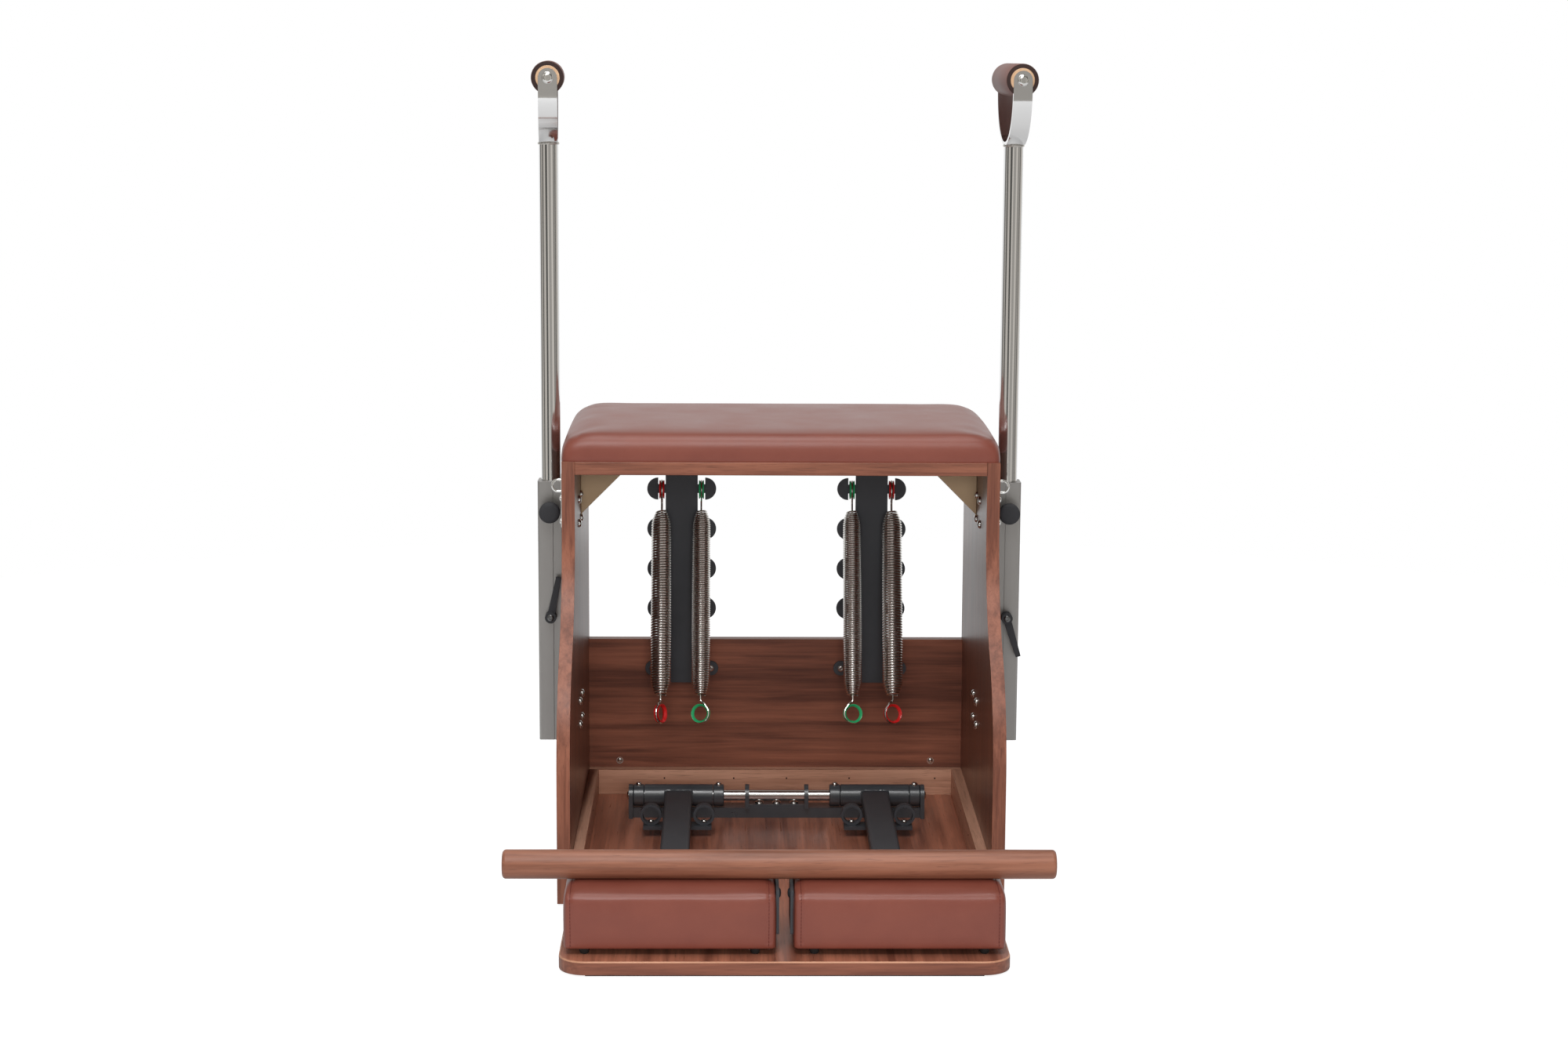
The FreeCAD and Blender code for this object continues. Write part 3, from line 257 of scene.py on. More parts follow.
class WoodGrain(Effect):
    """Figure, fibres and pores of wood whose grain runs along the vector's x."""

    name = "wood_grain"
    numbers = {"Figure Scale": 60.0}
    results = ("Figure", "Fibre", "Pore")
    streak_stretch = (0.05, 1.0, 1.0)
    streak_share = 0.6
    band_stretch = (0.07, 1.0, 1.0)
    band_scale_share = 0.3
    fibre_stretch = (0.025, 1.0, 1.0)
    fibre_scale = 330.0
    pore_stretch = (0.045, 1.0, 1.0)
    pore_scale = 760.0
    pore_range = (0.60, 0.70)

    def fill(self, nodes: NodeBuilder, given: Sockets, wanted: Sockets) -> None:
        """Stretch the noises of streaks, bands, fibres and pores along the grain.

        Args:
            nodes: The group's builder.
            given: The group's inputs.
            wanted: The group's results.
        """
        place = given["Vector"]
        scale = given["Figure Scale"]
        streaks = nodes.noise(nodes.stretch(place, self.streak_stretch), scale,
                              detail=4.0, roughness=0.58, distortion=0.4)
        broad = nodes.maths("MULTIPLY", scale, self.band_scale_share)
        bands = nodes.noise(nodes.stretch(place, self.band_stretch), broad,
                            detail=2.0, roughness=0.5, distortion=0.5)
        nodes.feed(wanted["Figure"], nodes.weigh(streaks, bands, self.streak_share))
        fibres = nodes.noise(nodes.stretch(place, self.fibre_stretch), self.fibre_scale,
                             detail=4.0, roughness=0.65, distortion=0.2)
        nodes.feed(wanted["Fibre"], fibres)
        pores = nodes.noise(nodes.stretch(place, self.pore_stretch), self.pore_scale,
                            detail=2.0, roughness=0.5)
        nodes.feed(wanted["Pore"], nodes.remap(pores, self.pore_range))


class HideGrain(Effect):
    """Pebbled grain and slow tone changes of upholstery leather."""

    name = "hide_grain"
    numbers = {"Pebble Scale": 850.0}
    results = ("Pebble", "Tone")
    edge_range = (0.0, 0.25)
    fine_scale = 1700.0
    fine_share = 0.5
    tone_scale = 14.0

    def fill(self, nodes: NodeBuilder, given: Sockets, wanted: Sockets) -> None:
        """Mix cell edges with fine noise, and add a slow noise for tone.

        Args:
            nodes: The group's builder.
            given: The group's inputs.
            wanted: The group's results.
        """
        place = given["Vector"]
        cells = nodes.add("ShaderNodeTexVoronoi", {"Vector": place, "Scale": given["Pebble Scale"]},
                          feature="DISTANCE_TO_EDGE").outputs["Distance"]
        fine = nodes.maths("MULTIPLY", nodes.noise(place, self.fine_scale, detail=2.0), self.fine_share)
        nodes.feed(wanted["Pebble"], nodes.maths("ADD", nodes.remap(cells, self.edge_range), fine))
        nodes.feed(wanted["Tone"], nodes.noise(place, self.tone_scale, roughness=0.6))


class Speckle(Effect):
    """Fine texture and slow patches of paint, moulded plastic or worked metal."""

    name = "speckle"
    numbers = {"Fine Scale": 900.0, "Patch Scale": 18.0}
    results = ("Fine", "Patch")

    def fill(self, nodes: NodeBuilder, given: Sockets, wanted: Sockets) -> None:
        """Read one noise at a fine scale and one at a slow scale.

        Args:
            nodes: The group's builder.
            given: The group's inputs.
            wanted: The group's results.
        """
        place = given["Vector"]
        nodes.feed(wanted["Fine"], nodes.noise(place, given["Fine Scale"], detail=2.0))
        nodes.feed(wanted["Patch"], nodes.noise(place, given["Patch Scale"], roughness=0.6))


WOOD_GRAIN = WoodGrain()
HIDE_GRAIN = HideGrain()
SPECKLE = Speckle()


# Finishes

class Grain(Enum):
    """The turn that lays a pattern's x along one of the object's axes."""

    ALONG_X = (0.0, 0.0, 0.0)
    ALONG_Y = (0.0, 0.0, math.pi / 2)
    ALONG_Z = (0.0, math.pi / 2, 0.0)


@dataclass(frozen=True)
class Finish:
    """A surface finish that makes its own material."""

    name: str

    def dress(self, nodes: NodeBuilder, surface: bpy.types.Node, place: Socket) -> None:
        """Feed the surface shader."""
        raise NotImplementedError

    def material(self) -> bpy.types.Material:
        """Make the finish's material on first use.

        Returns:
            The material.
        """
        known = bpy.data.materials.get(self.name)
        if known is not None:
            return known
        material = bpy.data.materials.new(self.name)
        material.use_nodes = True
        material.node_tree.nodes.clear()
        nodes = NodeBuilder(material.node_tree)
        place = nodes.add("ShaderNodeTexCoord").outputs["Object"]
        surface = nodes.add("ShaderNodeBsdfPrincipled")
        nodes.add("ShaderNodeOutputMaterial", {"Surface": surface.outputs["BSDF"]})
        self.dress(nodes, surface, place)
        return material


@dataclass(frozen=True)
class WoodFinish(Finish):
    """Satin wood or wood-grained laminate."""

    light: Colour
    dark: Colour
    pore: Colour
    grain: Grain
    figure_scale: float = 60.0
    roughness: Span = (0.36, 0.48)
    pore_depth: float = 0.12 * MM
    pore_share: float = 0.35
    figure_range: Span = (0.40, 0.60)
    figure_share: float = 0.68
    fibre_range: Span = (0.3, 0.7)
    fibre_height_share: float = 0.35
    gloss_range: Span = (0.25, 0.75)
    bump_strength: float = 0.35

    def dress(self, nodes: NodeBuilder, surface: bpy.types.Node, place: Socket) -> None:
        """Blend light and dark figure, draw fibres and sink the pores.

        Args:
            nodes: The material's builder.
            surface: The surface shader.
            place: The coordinates that the pattern reads.
        """
        wood = WOOD_GRAIN.place(nodes, nodes.turn(place, self.grain.value), Figure_Scale=self.figure_scale)
        figure = nodes.remap(wood["Figure"], self.figure_range)
        fibre = nodes.remap(wood["Fibre"], self.fibre_range)
        colour = nodes.mix(nodes.weigh(figure, fibre, self.figure_share), self.dark, self.light)
        pores = nodes.maths("MULTIPLY", wood["Pore"], self.pore_share)
        nodes.feed(surface.inputs["Base Color"], nodes.mix(pores, colour, self.pore))
        nodes.feed(surface.inputs["Roughness"], nodes.remap(wood["Fibre"], self.gloss_range, self.roughness))
        raised = nodes.maths("MULTIPLY", wood["Fibre"], self.fibre_height_share)
        height = nodes.maths("SUBTRACT", raised, wood["Pore"])
        nodes.feed(surface.inputs["Normal"], nodes.bump(height, self.bump_strength, self.pore_depth))


@dataclass(frozen=True)
class LeatherFinish(Finish):
    """Upholstery leather with a fine pebble and a soft sheen."""

    colour: Colour
    shadow: Colour
    roughness: Span = (0.34, 0.42)
    pebble_depth: float = 0.12 * MM
    bump_strength: float = 0.25
    tone_range: Span = (0.3, 0.7)
    tone_share: float = 0.8
    pebble_range: Span = (0.2, 1.1)
    pebble_share: float = 0.25
    coat: float = 0.06
    coat_roughness: float = 0.3

    def dress(self, nodes: NodeBuilder, surface: bpy.types.Node, place: Socket) -> None:
        """Vary the tone slowly and raise the pebbles.

        Args:
            nodes: The material's builder.
            surface: The surface shader.
            place: The coordinates that the pattern reads.
        """
        hide = HIDE_GRAIN.place(nodes, place)
        tone = nodes.maths("MULTIPLY", nodes.remap(hide["Tone"], self.tone_range), self.tone_share)
        pebble = nodes.maths("MULTIPLY", nodes.remap(hide["Pebble"], self.pebble_range), self.pebble_share)
        base = nodes.mix(tone, self.shadow, self.colour)
        nodes.feed(surface.inputs["Base Color"], nodes.mix(pebble, base, self.colour))
        nodes.feed(surface.inputs["Roughness"], nodes.remap(hide["Tone"], self.tone_range, self.roughness))
        raised = nodes.bump(hide["Pebble"], self.bump_strength, self.pebble_depth)
        nodes.feed(surface.inputs["Normal"], raised)
        surface.inputs["Coat Weight"].default_value = self.coat
        surface.inputs["Coat Roughness"].default_value = self.coat_roughness


@dataclass(frozen=True)
class MetalFinish(Finish):
    """Bare or plated metal, with a drawn texture along one axis."""

    colour: Colour
    tarnish: Colour
    roughness: Span
    grain: Grain = Grain.ALONG_Z
    drawn: float = 0.05
    mark_depth: float = 0.03 * MM
    mark_scale: float = 1400.0
    mark_strength: float = 0.12
    patch_range: Span = (0.35, 0.7)
    gloss_range: Span = (0.3, 0.7)

    def dress(self, nodes: NodeBuilder, surface: bpy.types.Node, place: Socket) -> None:
        """Pull the speckle out along the drawn direction.

        Args:
            nodes: The material's builder.
            surface: The surface shader.
            place: The coordinates that the pattern reads.
        """
        drawn = nodes.stretch(nodes.turn(place, self.grain.value), (self.drawn, 1.0, 1.0))
        marks = SPECKLE.place(nodes, drawn, Fine_Scale=self.mark_scale)
        patch = nodes.remap(marks["Patch"], self.patch_range)
        nodes.feed(surface.inputs["Base Color"], nodes.mix(patch, self.colour, self.tarnish))
        nodes.feed(surface.inputs["Roughness"], nodes.remap(marks["Patch"], self.gloss_range, self.roughness))
        nodes.feed(surface.inputs["Normal"], nodes.bump(marks["Fine"], self.mark_strength, self.mark_depth))
        surface.inputs["Metallic"].default_value = 1.0


@dataclass(frozen=True)
class CoatFinish(Finish):
    """Powder coat, moulded plastic, rubber or enamel: one colour with a fine surface."""

    colour: Colour
    faded: Colour
    roughness: Span
    speckle_depth: float = 0.05 * MM
    speckle_scale: float = 1100.0
    coat: float = 0.0
    sheen: float = 0.5
    speckle_strength: float = 0.25
    patch_range: Span = (0.3, 0.75)
    gloss_range: Span = (0.3, 0.7)

    def dress(self, nodes: NodeBuilder, surface: bpy.types.Node, place: Socket) -> None:
        """Vary colour and gloss by patches and raise the speckle.

        Args:
            nodes: The material's builder.
            surface: The surface shader.
            place: The coordinates that the pattern reads.
        """
        marks = SPECKLE.place(nodes, place, Fine_Scale=self.speckle_scale)
        patch = nodes.remap(marks["Patch"], self.patch_range)
        nodes.feed(surface.inputs["Base Color"], nodes.mix(patch, self.colour, self.faded))
        nodes.feed(surface.inputs["Roughness"], nodes.remap(marks["Patch"], self.gloss_range, self.roughness))
        raised = nodes.bump(marks["Fine"], self.speckle_strength, self.speckle_depth)
        nodes.feed(surface.inputs["Normal"], raised)
        surface.inputs["Coat Weight"].default_value = self.coat
        surface.inputs["Specular IOR Level"].default_value = self.sheen


WALNUT_PORE = srgb(58, 30, 22)
BAND_PORE = srgb(72, 39, 30)
BAND_SCALE = 130.0
LAMINATE_GLOSS = (0.26, 0.36)
COAT_SPECKLE = 0.008 * MM
COAT_SCALE = 1300.0


def edge_band(name: str, grain: Grain) -> WoodFinish:
    """Return the lighter, finer walnut of a board's edge band."""
    return WoodFinish(name, srgb(160, 101, 78), srgb(106, 60, 45), BAND_PORE, grain, BAND_SCALE)


def rail_wood_with_painted_light(name: str, grain: Grain) -> WoodFinish:
    """Return the pale wood of the floor rails: walnut made paler than its own colour, as painted light inside
    the shaded carcass.
    """
    return WoodFinish(name, srgb(208, 158, 132), srgb(162, 115, 92), WALNUT_PORE, grain, 80.0)


PANEL_FACE = WoodFinish("walnut_panel_face", srgb(130, 80, 61), srgb(76, 41, 32), WALNUT_PORE,
                        Grain.ALONG_Z, roughness=LAMINATE_GLOSS)
PANEL_EDGE = edge_band("walnut_panel_edge", Grain.ALONG_Z)
BASE_FACE = WoodFinish("walnut_base_face", srgb(196, 126, 99), srgb(104, 57, 44), WALNUT_PORE,
                       Grain.ALONG_Y, 50.0, LAMINATE_GLOSS)
FRONT_EDGE = edge_band("walnut_front_edge", Grain.ALONG_X)
SIDE_EDGE = edge_band("walnut_side_edge", Grain.ALONG_Y)
CROSS_FACE = WoodFinish("walnut_cross_face", srgb(158, 98, 72), srgb(104, 56, 40), WALNUT_PORE, Grain.ALONG_X)
BACK_FACE = WoodFinish("walnut_back_face", srgb(150, 92, 71), srgb(80, 46, 37), WALNUT_PORE,
                       Grain.ALONG_X, 64.0, pore_share=0.15)
BASE_EDGE = WoodFinish("walnut_base_edge", srgb(152, 94, 72), srgb(106, 60, 46), BAND_PORE,
                       Grain.ALONG_X, BAND_SCALE)
# Paler walnut on the base's upward-facing broken edges: a painted highlight where light from above catches
# the bevel.
PAINTED_EDGE_HIGHLIGHT = WoodFinish("walnut_painted_edge_highlight", srgb(214, 160, 128), srgb(184, 128, 98), srgb(120, 76, 58),
                       Grain.ALONG_X, BAND_SCALE)
RAIL_WOOD_WITH_PAINTED_LIGHT = rail_wood_with_painted_light("walnut_rail_painted_light", Grain.ALONG_X)
SIDE_RAIL_WOOD_WITH_PAINTED_LIGHT = rail_wood_with_painted_light("walnut_side_rail_painted_light", Grain.ALONG_Y)
DOWEL_WOOD = WoodFinish("stained_dowel", srgb(166, 110, 86), srgb(116, 70, 52), srgb(76, 43, 33),
                        Grain.ALONG_X, 90.0)
# Pale plywood of the corner gussets, made paler still as painted light, since the seat shades them from
# above.
PLAIN_WOOD_WITH_PAINTED_LIGHT = WoodFinish("plain_wood", srgb(232, 198, 164), srgb(208, 172, 138), srgb(150, 118, 90),
                        Grain.ALONG_X)
CORE_WOOD = WoodFinish("grip_core_wood", srgb(222, 186, 150), srgb(200, 160, 124), srgb(160, 120, 90),
                       Grain.ALONG_Y, 40.0)
LEATHER = LeatherFinish("brown_leather", srgb(136, 74, 60), srgb(124, 64, 52))
GRIP_LEATHER = LeatherFinish("grip_leather", srgb(134, 96, 88), srgb(116, 80, 74), (0.5, 0.6))
GRIP_END = CoatFinish("grip_foam", srgb(46, 30, 28), srgb(58, 40, 36), (0.75, 0.85), 0.15 * MM, 700.0)
THREAD = CoatFinish("stitch_thread", srgb(96, 40, 34), srgb(110, 52, 44), (0.6, 0.7), 0.05 * MM, 2600.0)
POLISHED = MetalFinish("polished_steel", (0.78, 0.74, 0.68, 1.0), (0.70, 0.66, 0.60, 1.0), (0.03, 0.07),
                       mark_depth=0.008 * MM)
CROSS_POLISHED = MetalFinish("polished_shaft", (0.80, 0.80, 0.79, 1.0), (0.66, 0.66, 0.66, 1.0), (0.1, 0.18),
                             Grain.ALONG_X)
BRIGHT = MetalFinish("bright_plate", (0.82, 0.82, 0.80, 1.0), (0.70, 0.70, 0.68, 1.0), (0.1, 0.2), drawn=1.0)
SPRING_WIRE = MetalFinish("spring_wire", (0.88, 0.86, 0.83, 1.0), (0.76, 0.74, 0.71, 1.0), (0.16, 0.24),
                          drawn=1.0)
WELD = MetalFinish("weld_metal", (0.62, 0.60, 0.56, 1.0), (0.46, 0.44, 0.42, 1.0), (0.22, 0.36), drawn=1.0)
ALUMINIUM = MetalFinish("satin_aluminium", (0.42, 0.41, 0.40, 1.0), (0.37, 0.36, 0.35, 1.0), (0.38, 0.46))
DARK_STEEL = MetalFinish("dark_screw", (0.20, 0.20, 0.20, 1.0), (0.14, 0.14, 0.14, 1.0), (0.25, 0.35),
                         drawn=1.0)
BRONZE = MetalFinish("bush_bronze", (0.56, 0.40, 0.20, 1.0), (0.44, 0.31, 0.16, 1.0), (0.3, 0.42), drawn=1.0)
BLACK_STEEL = CoatFinish("black_powder_coat", srgb(54, 58, 62), srgb(62, 66, 70), (0.27, 0.34),
                         COAT_SPECKLE, COAT_SCALE, sheen=0.95)
ARM_STEEL = CoatFinish("black_arm_coat", srgb(58, 60, 64), srgb(66, 68, 72), (0.46, 0.54),
                       COAT_SPECKLE, COAT_SCALE)
BLACK_PLASTIC = CoatFinish("black_plastic", srgb(42, 43, 46), srgb(52, 54, 58), (0.42, 0.5))
RUBBER = CoatFinish("black_rubber", srgb(30, 30, 30), srgb(42, 42, 41), (0.7, 0.82))
RED_ENAMEL = CoatFinish("red_eye", srgb(214, 22, 20), srgb(196, 14, 14), (0.2, 0.28), 0.02 * MM, coat=0.5)
GREEN_ENAMEL = CoatFinish("green_eye", srgb(22, 158, 92), srgb(16, 138, 78), (0.2, 0.28), 0.02 * MM, coat=0.5)
NAIL_DARK = CoatFinish("nail_hole", srgb(34, 20, 16), srgb(44, 28, 22), (0.8, 0.9))


# Modelling by hand

def deselect_all() -> None:
    """Leave nothing selected."""
    bpy.ops.object.select_all(action="DESELECT")


def make_active(piece: Piece) -> None:
    """Select one piece alone."""
    deselect_all()
    piece.select_set(True)
    bpy.context.view_layer.objects.active = piece


@contextmanager
def edit_mode(piece: Piece, kind: str = "FACE") -> Iterator[None]:
    """Hold a piece in edit mode.

    Args:
        piece: The piece to edit.
        kind: VERT, EDGE or FACE.

    Returns:
        A context that leaves edit mode at its end.
    """
    make_active(piece)
    bpy.ops.object.mode_set(mode="EDIT")
    bpy.ops.mesh.select_mode(type=kind)
    try:
        yield
    finally:
        bpy.ops.object.mode_set(mode="OBJECT")


def apply_transforms(piece: Piece) -> None:
    """Put a piece's place into its mesh."""
    make_active(piece)
    bpy.ops.object.transform_apply(location=True, rotation=True, scale=True)


def apply_modifiers(piece: Piece) -> None:
    """Apply a piece's modifiers in order."""
    make_active(piece)
    for modifier in list(piece.modifiers):
        bpy.ops.object.modifier_apply(modifier=modifier.name)


def smooth(piece: Piece, angle: float = SMOOTH_ANGLE) -> Piece:
    """Shade a piece smooth except at its sharp edges."""
    make_active(piece)
    bpy.ops.object.shade_smooth_by_angle(angle=angle)
    return piece


def face_outwards(piece: Piece) -> None:
    """Merge a piece's doubles and turn its faces outwards.

    Args:
        piece: The piece to mend.
    """
    with edit_mode(piece):
        bpy.ops.mesh.select_all(action="SELECT")
        bpy.ops.mesh.remove_doubles(threshold=MERGE)
        bpy.ops.mesh.normals_make_consistent(inside=False)


def put(piece: Piece, place: Vector, way: Vector) -> Piece:
    """Lay a piece's own upright axis along a direction, at a place.

    Args:
        piece: A piece modelled about the origin.
        place: Where its origin goes.
        way: Where its own up goes.

    Returns:
        The piece, with the move in its mesh.
    """
    piece.data.transform(Matrix.Translation(place) @ way.to_track_quat("Z", "Y").to_matrix().to_4x4())
    return piece


def join(name: str, parts: Sequence[Piece]) -> Piece:
    """Join parts into one piece.

    Args:
        name: The new piece's name.
        parts: The parts, used up here.

    Returns:
        The joined piece.
    """
    make_active(parts[0])
    for part in parts:
        part.select_set(True)
    if len(parts) > 1:
        bpy.ops.object.join()
    parts[0].name = name
    return parts[0]


def copies(name: str, pattern: Piece, places: Places) -> Piece:
    """Copy a pattern to several places and join the copies.

    Args:
        name: The new piece's name.
        pattern: A piece modelled about the origin, used up here.
        places: The place and direction of each copy.

    Returns:
        The joined piece.
    """
    parts = []
    for place, way in places:
        part = bpy.data.objects.new(name, pattern.data.copy())
        bpy.context.scene.collection.objects.link(part)
        parts.append(put(part, place, way))
    bpy.data.objects.remove(pattern)
    return join(name, parts)


def scaled(shares: Profile, radius: float, height: float) -> list[Span]:
    """Scale a profile of shares to a real radius and height."""
    return [(radius * out_share, height * up_share) for out_share, up_share in shares]


def turned(name: str, profile: Profile, hollow: bool = False, sides: int = ROUND_SIDES) -> Piece:
    """Turn a round piece about the upright axis through the origin.

    Args:
        name: The piece's name.
        profile: Radius and height of each step, from the bottom of the outside on.
        hollow: Whether the profile comes back down the inside to its start.
        sides: How many sides the circle has.

    Returns:
        The piece.
    """
    deselect_all()
    first_radius, first_height = profile[0]
    bpy.ops.mesh.primitive_circle_add(vertices=sides, radius=first_radius, location=(0.0, 0.0, first_height),
                                      fill_type="NOTHING" if hollow else "NGON")
    piece = bpy.context.active_object
    piece.name = name
    steps = list(profile) + ([profile[0]] if hollow else [])
    with edit_mode(piece, "EDGE" if hollow else "FACE"):
        bpy.ops.mesh.select_all(action="SELECT")
        for (radius, height), (next_radius, next_height) in zip(steps, steps[1:]):
            share = next_radius / radius
            rise = (0.0, 0.0, next_height - height)
            bpy.ops.mesh.extrude_region_move(TRANSFORM_OT_translate={"value": rise})
            bpy.ops.transform.resize(value=(share, share, 1.0), center_override=(0.0, 0.0, next_height))
    apply_transforms(piece)
    face_outwards(piece)
    return smooth(piece)


def carve(piece: Piece, cutter: Piece) -> None:
    """Cut one piece out of another.

    Args:
        piece: The piece that loses material.
        cutter: The form that is cut out, used up here.
    """
    modifier = piece.modifiers.new("carve", "BOOLEAN")
    modifier.operation = "DIFFERENCE"
    modifier.solver = "EXACT"
    modifier.object = cutter
    apply_modifiers(piece)
    bpy.data.objects.remove(cutter)


def wire(name: str, points: Sequence[Vector], radius: float) -> Piece:
    """Draw a smooth round wire along control points.

    Args:
        name: The piece's name.
        points: The control points.
        radius: Half the wire's thickness.

    Returns:
        The wire as a mesh with closed ends.
    """
    curve = bpy.data.curves.new(name, "CURVE")
    curve.dimensions = "3D"
    curve.bevel_depth = radius
    curve.bevel_resolution = 2
    curve.use_fill_caps = True
    curve.resolution_u = 6
    spline = curve.splines.new("NURBS")
    spline.points.add(len(points) - 1)
    for point, place in zip(spline.points, points):
        point.co = (*place, 1.0)
    spline.order_u = 3
    spline.use_endpoint_u = True
    piece = bpy.data.objects.new(name, curve)
    bpy.context.scene.collection.objects.link(piece)
    make_active(piece)
    bpy.ops.object.convert(target="MESH")
    piece = bpy.context.active_object
    face_outwards(piece)
    return smooth(piece)


def node_copy(node: str, name: str) -> Piece:
    """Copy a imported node's mesh into a piece with shared vertices and whole flat faces.

    Args:
        node: The node to copy.
        name: The new piece's name.

    Returns:
        The piece.
    """
    piece = bpy.data.objects.new(name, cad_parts[node].data.copy())
    bpy.context.scene.collection.objects.link(piece)
    with edit_mode(piece, "VERT"):
        bpy.ops.mesh.select_all(action="SELECT")
        bpy.ops.mesh.remove_doubles(threshold=MERGE)
        bpy.ops.mesh.dissolve_limited(angle_limit=FLAT_ANGLE)
    return piece


def eased_copy(node: str, name: str, width: float, segments: int = 2) -> Piece:
    """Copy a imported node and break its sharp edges.

    Args:
        node: The node to copy.
        name: The new piece's name.
        width: How wide the broken edge is.
        segments: How many strips round it.

    Returns:
        The piece, smooth but for its edges.
    """
    piece = node_copy(node, name)
    modifier = piece.modifiers.new("ease", "BEVEL")
    modifier.width = width
    modifier.segments = segments
    modifier.limit_method = "ANGLE"
    modifier.angle_limit = SHARP_ANGLE
    modifier.use_clamp_overlap = True
    apply_modifiers(piece)
    smooth(piece)
    weighted = piece.modifiers.new("flat_faces", "WEIGHTED_NORMAL")
    weighted.keep_sharp = True
    apply_modifiers(piece)
    return piece


def lay_finishes(piece: Piece, choose: FaceChoice) -> None:
    """Give each face the number of one of the piece's finishes."""
    for polygon in piece.data.polygons:
        polygon.material_index = choose(polygon)


class SubAssembly:
    """Pieces that are modelled and dressed together."""

    def settle(self, piece: Piece, body: str, slot: str, finishes: Sequence[Finish], *nodes: str) -> Piece:
        """Dress a piece and tie it to the frame.

        Args:
            piece: The finished form.
            body: The body that it moves with.
            slot: The material slot's name, not used.
            finishes: Its materials, in order.
            nodes: The nodes that it stands for.

        Returns:
            The piece.
        """
        piece.data.materials.clear()
        for finish in finishes:
            piece.data.materials.append(finish.material())
        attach(piece, body)
        if nodes:
            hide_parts(*nodes)
        LOG.info("%s rides on %s, %d faces", piece.name, body, len(piece.data.polygons))
        return piece

    def ease_node(self, node: str, body: str, slot: str, finishes: Sequence[Finish], width: float,
                  ending: str = "eased", segments: int = 2) -> Piece:
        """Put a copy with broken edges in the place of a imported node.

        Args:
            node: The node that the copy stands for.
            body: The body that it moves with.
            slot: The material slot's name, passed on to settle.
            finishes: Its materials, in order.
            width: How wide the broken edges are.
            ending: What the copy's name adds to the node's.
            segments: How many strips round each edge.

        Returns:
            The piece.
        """
        piece = eased_copy(node, f"{node}_{ending}", width, segments)
        return self.settle(piece, body, slot, finishes, node)

    def keep(self, node: str, finish: Finish) -> None:
        """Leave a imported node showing, in a new finish.

        Args:
            node: The node that stays.
            finish: Its finish.
        """
        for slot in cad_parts[node].material_slots:
            slot.material = finish.material()
        LOG.info("%s stays as packed", node)


# Fasteners

@dataclass(frozen=True)
class Fastener:
    """A screw or bolt head that is modelled once and copied."""

    head: float
    dome: float

    def model(self, name: str) -> Piece:
        """Model one head about the origin, its seat at zero height."""
        raise NotImplementedError

    def set_at(self, name: str, places: Places) -> Piece:
        """Put one head at each place."""
        return copies(name, self.model(name), places)


@dataclass(frozen=True)
class SocketBolt(Fastener):
    """A button head with a hexagon socket."""

    socket_share: float = 0.42
    depth_share: float = 0.6
    socket_sides: int = 6
    sides: int = 28
    dome_shares: Profile = ((0.96, 0.0), (1.0, 0.08), (1.0, 0.25), (0.93, 0.52), (0.78, 0.8), (0.62, 0.95),
                            (0.5, 1.0))

    def model(self, name: str) -> Piece:
        """Turn the head and cut the socket.

        Args:
            name: The piece's name.

        Returns:
            The head.
        """
        piece = turned(name, scaled(self.dome_shares, self.head, self.dome), sides=self.sides)
        deselect_all()
        depth = self.dome * self.depth_share
        bpy.ops.mesh.primitive_cylinder_add(vertices=self.socket_sides, radius=self.head * self.socket_share,
                                            depth=2 * depth, location=(0.0, 0.0, self.dome))
        carve(piece, bpy.context.active_object)
        return smooth(piece)


@dataclass(frozen=True)
class DomeScrew(Fastener):
    """A plain domed head on a thin washer."""

    washer: float
    rim_share: float = 0.12
    sides: int = 28
    dome_shares: Profile = ((1.0, 0.4), (0.9, 0.66), (0.66, 0.88), (0.34, 0.98), (0.1, 1.0))

    def model(self, name: str) -> Piece:
        """Turn the washer and the dome as one form.

        Args:
            name: The piece's name.

        Returns:
            The head.
        """
        rim = self.washer * self.rim_share
        foot = [(self.washer, 0.0), (self.washer, rim), (self.head, rim)]
        return turned(name, foot + scaled(self.dome_shares, self.head, self.dome), sides=self.sides)


# Carcass

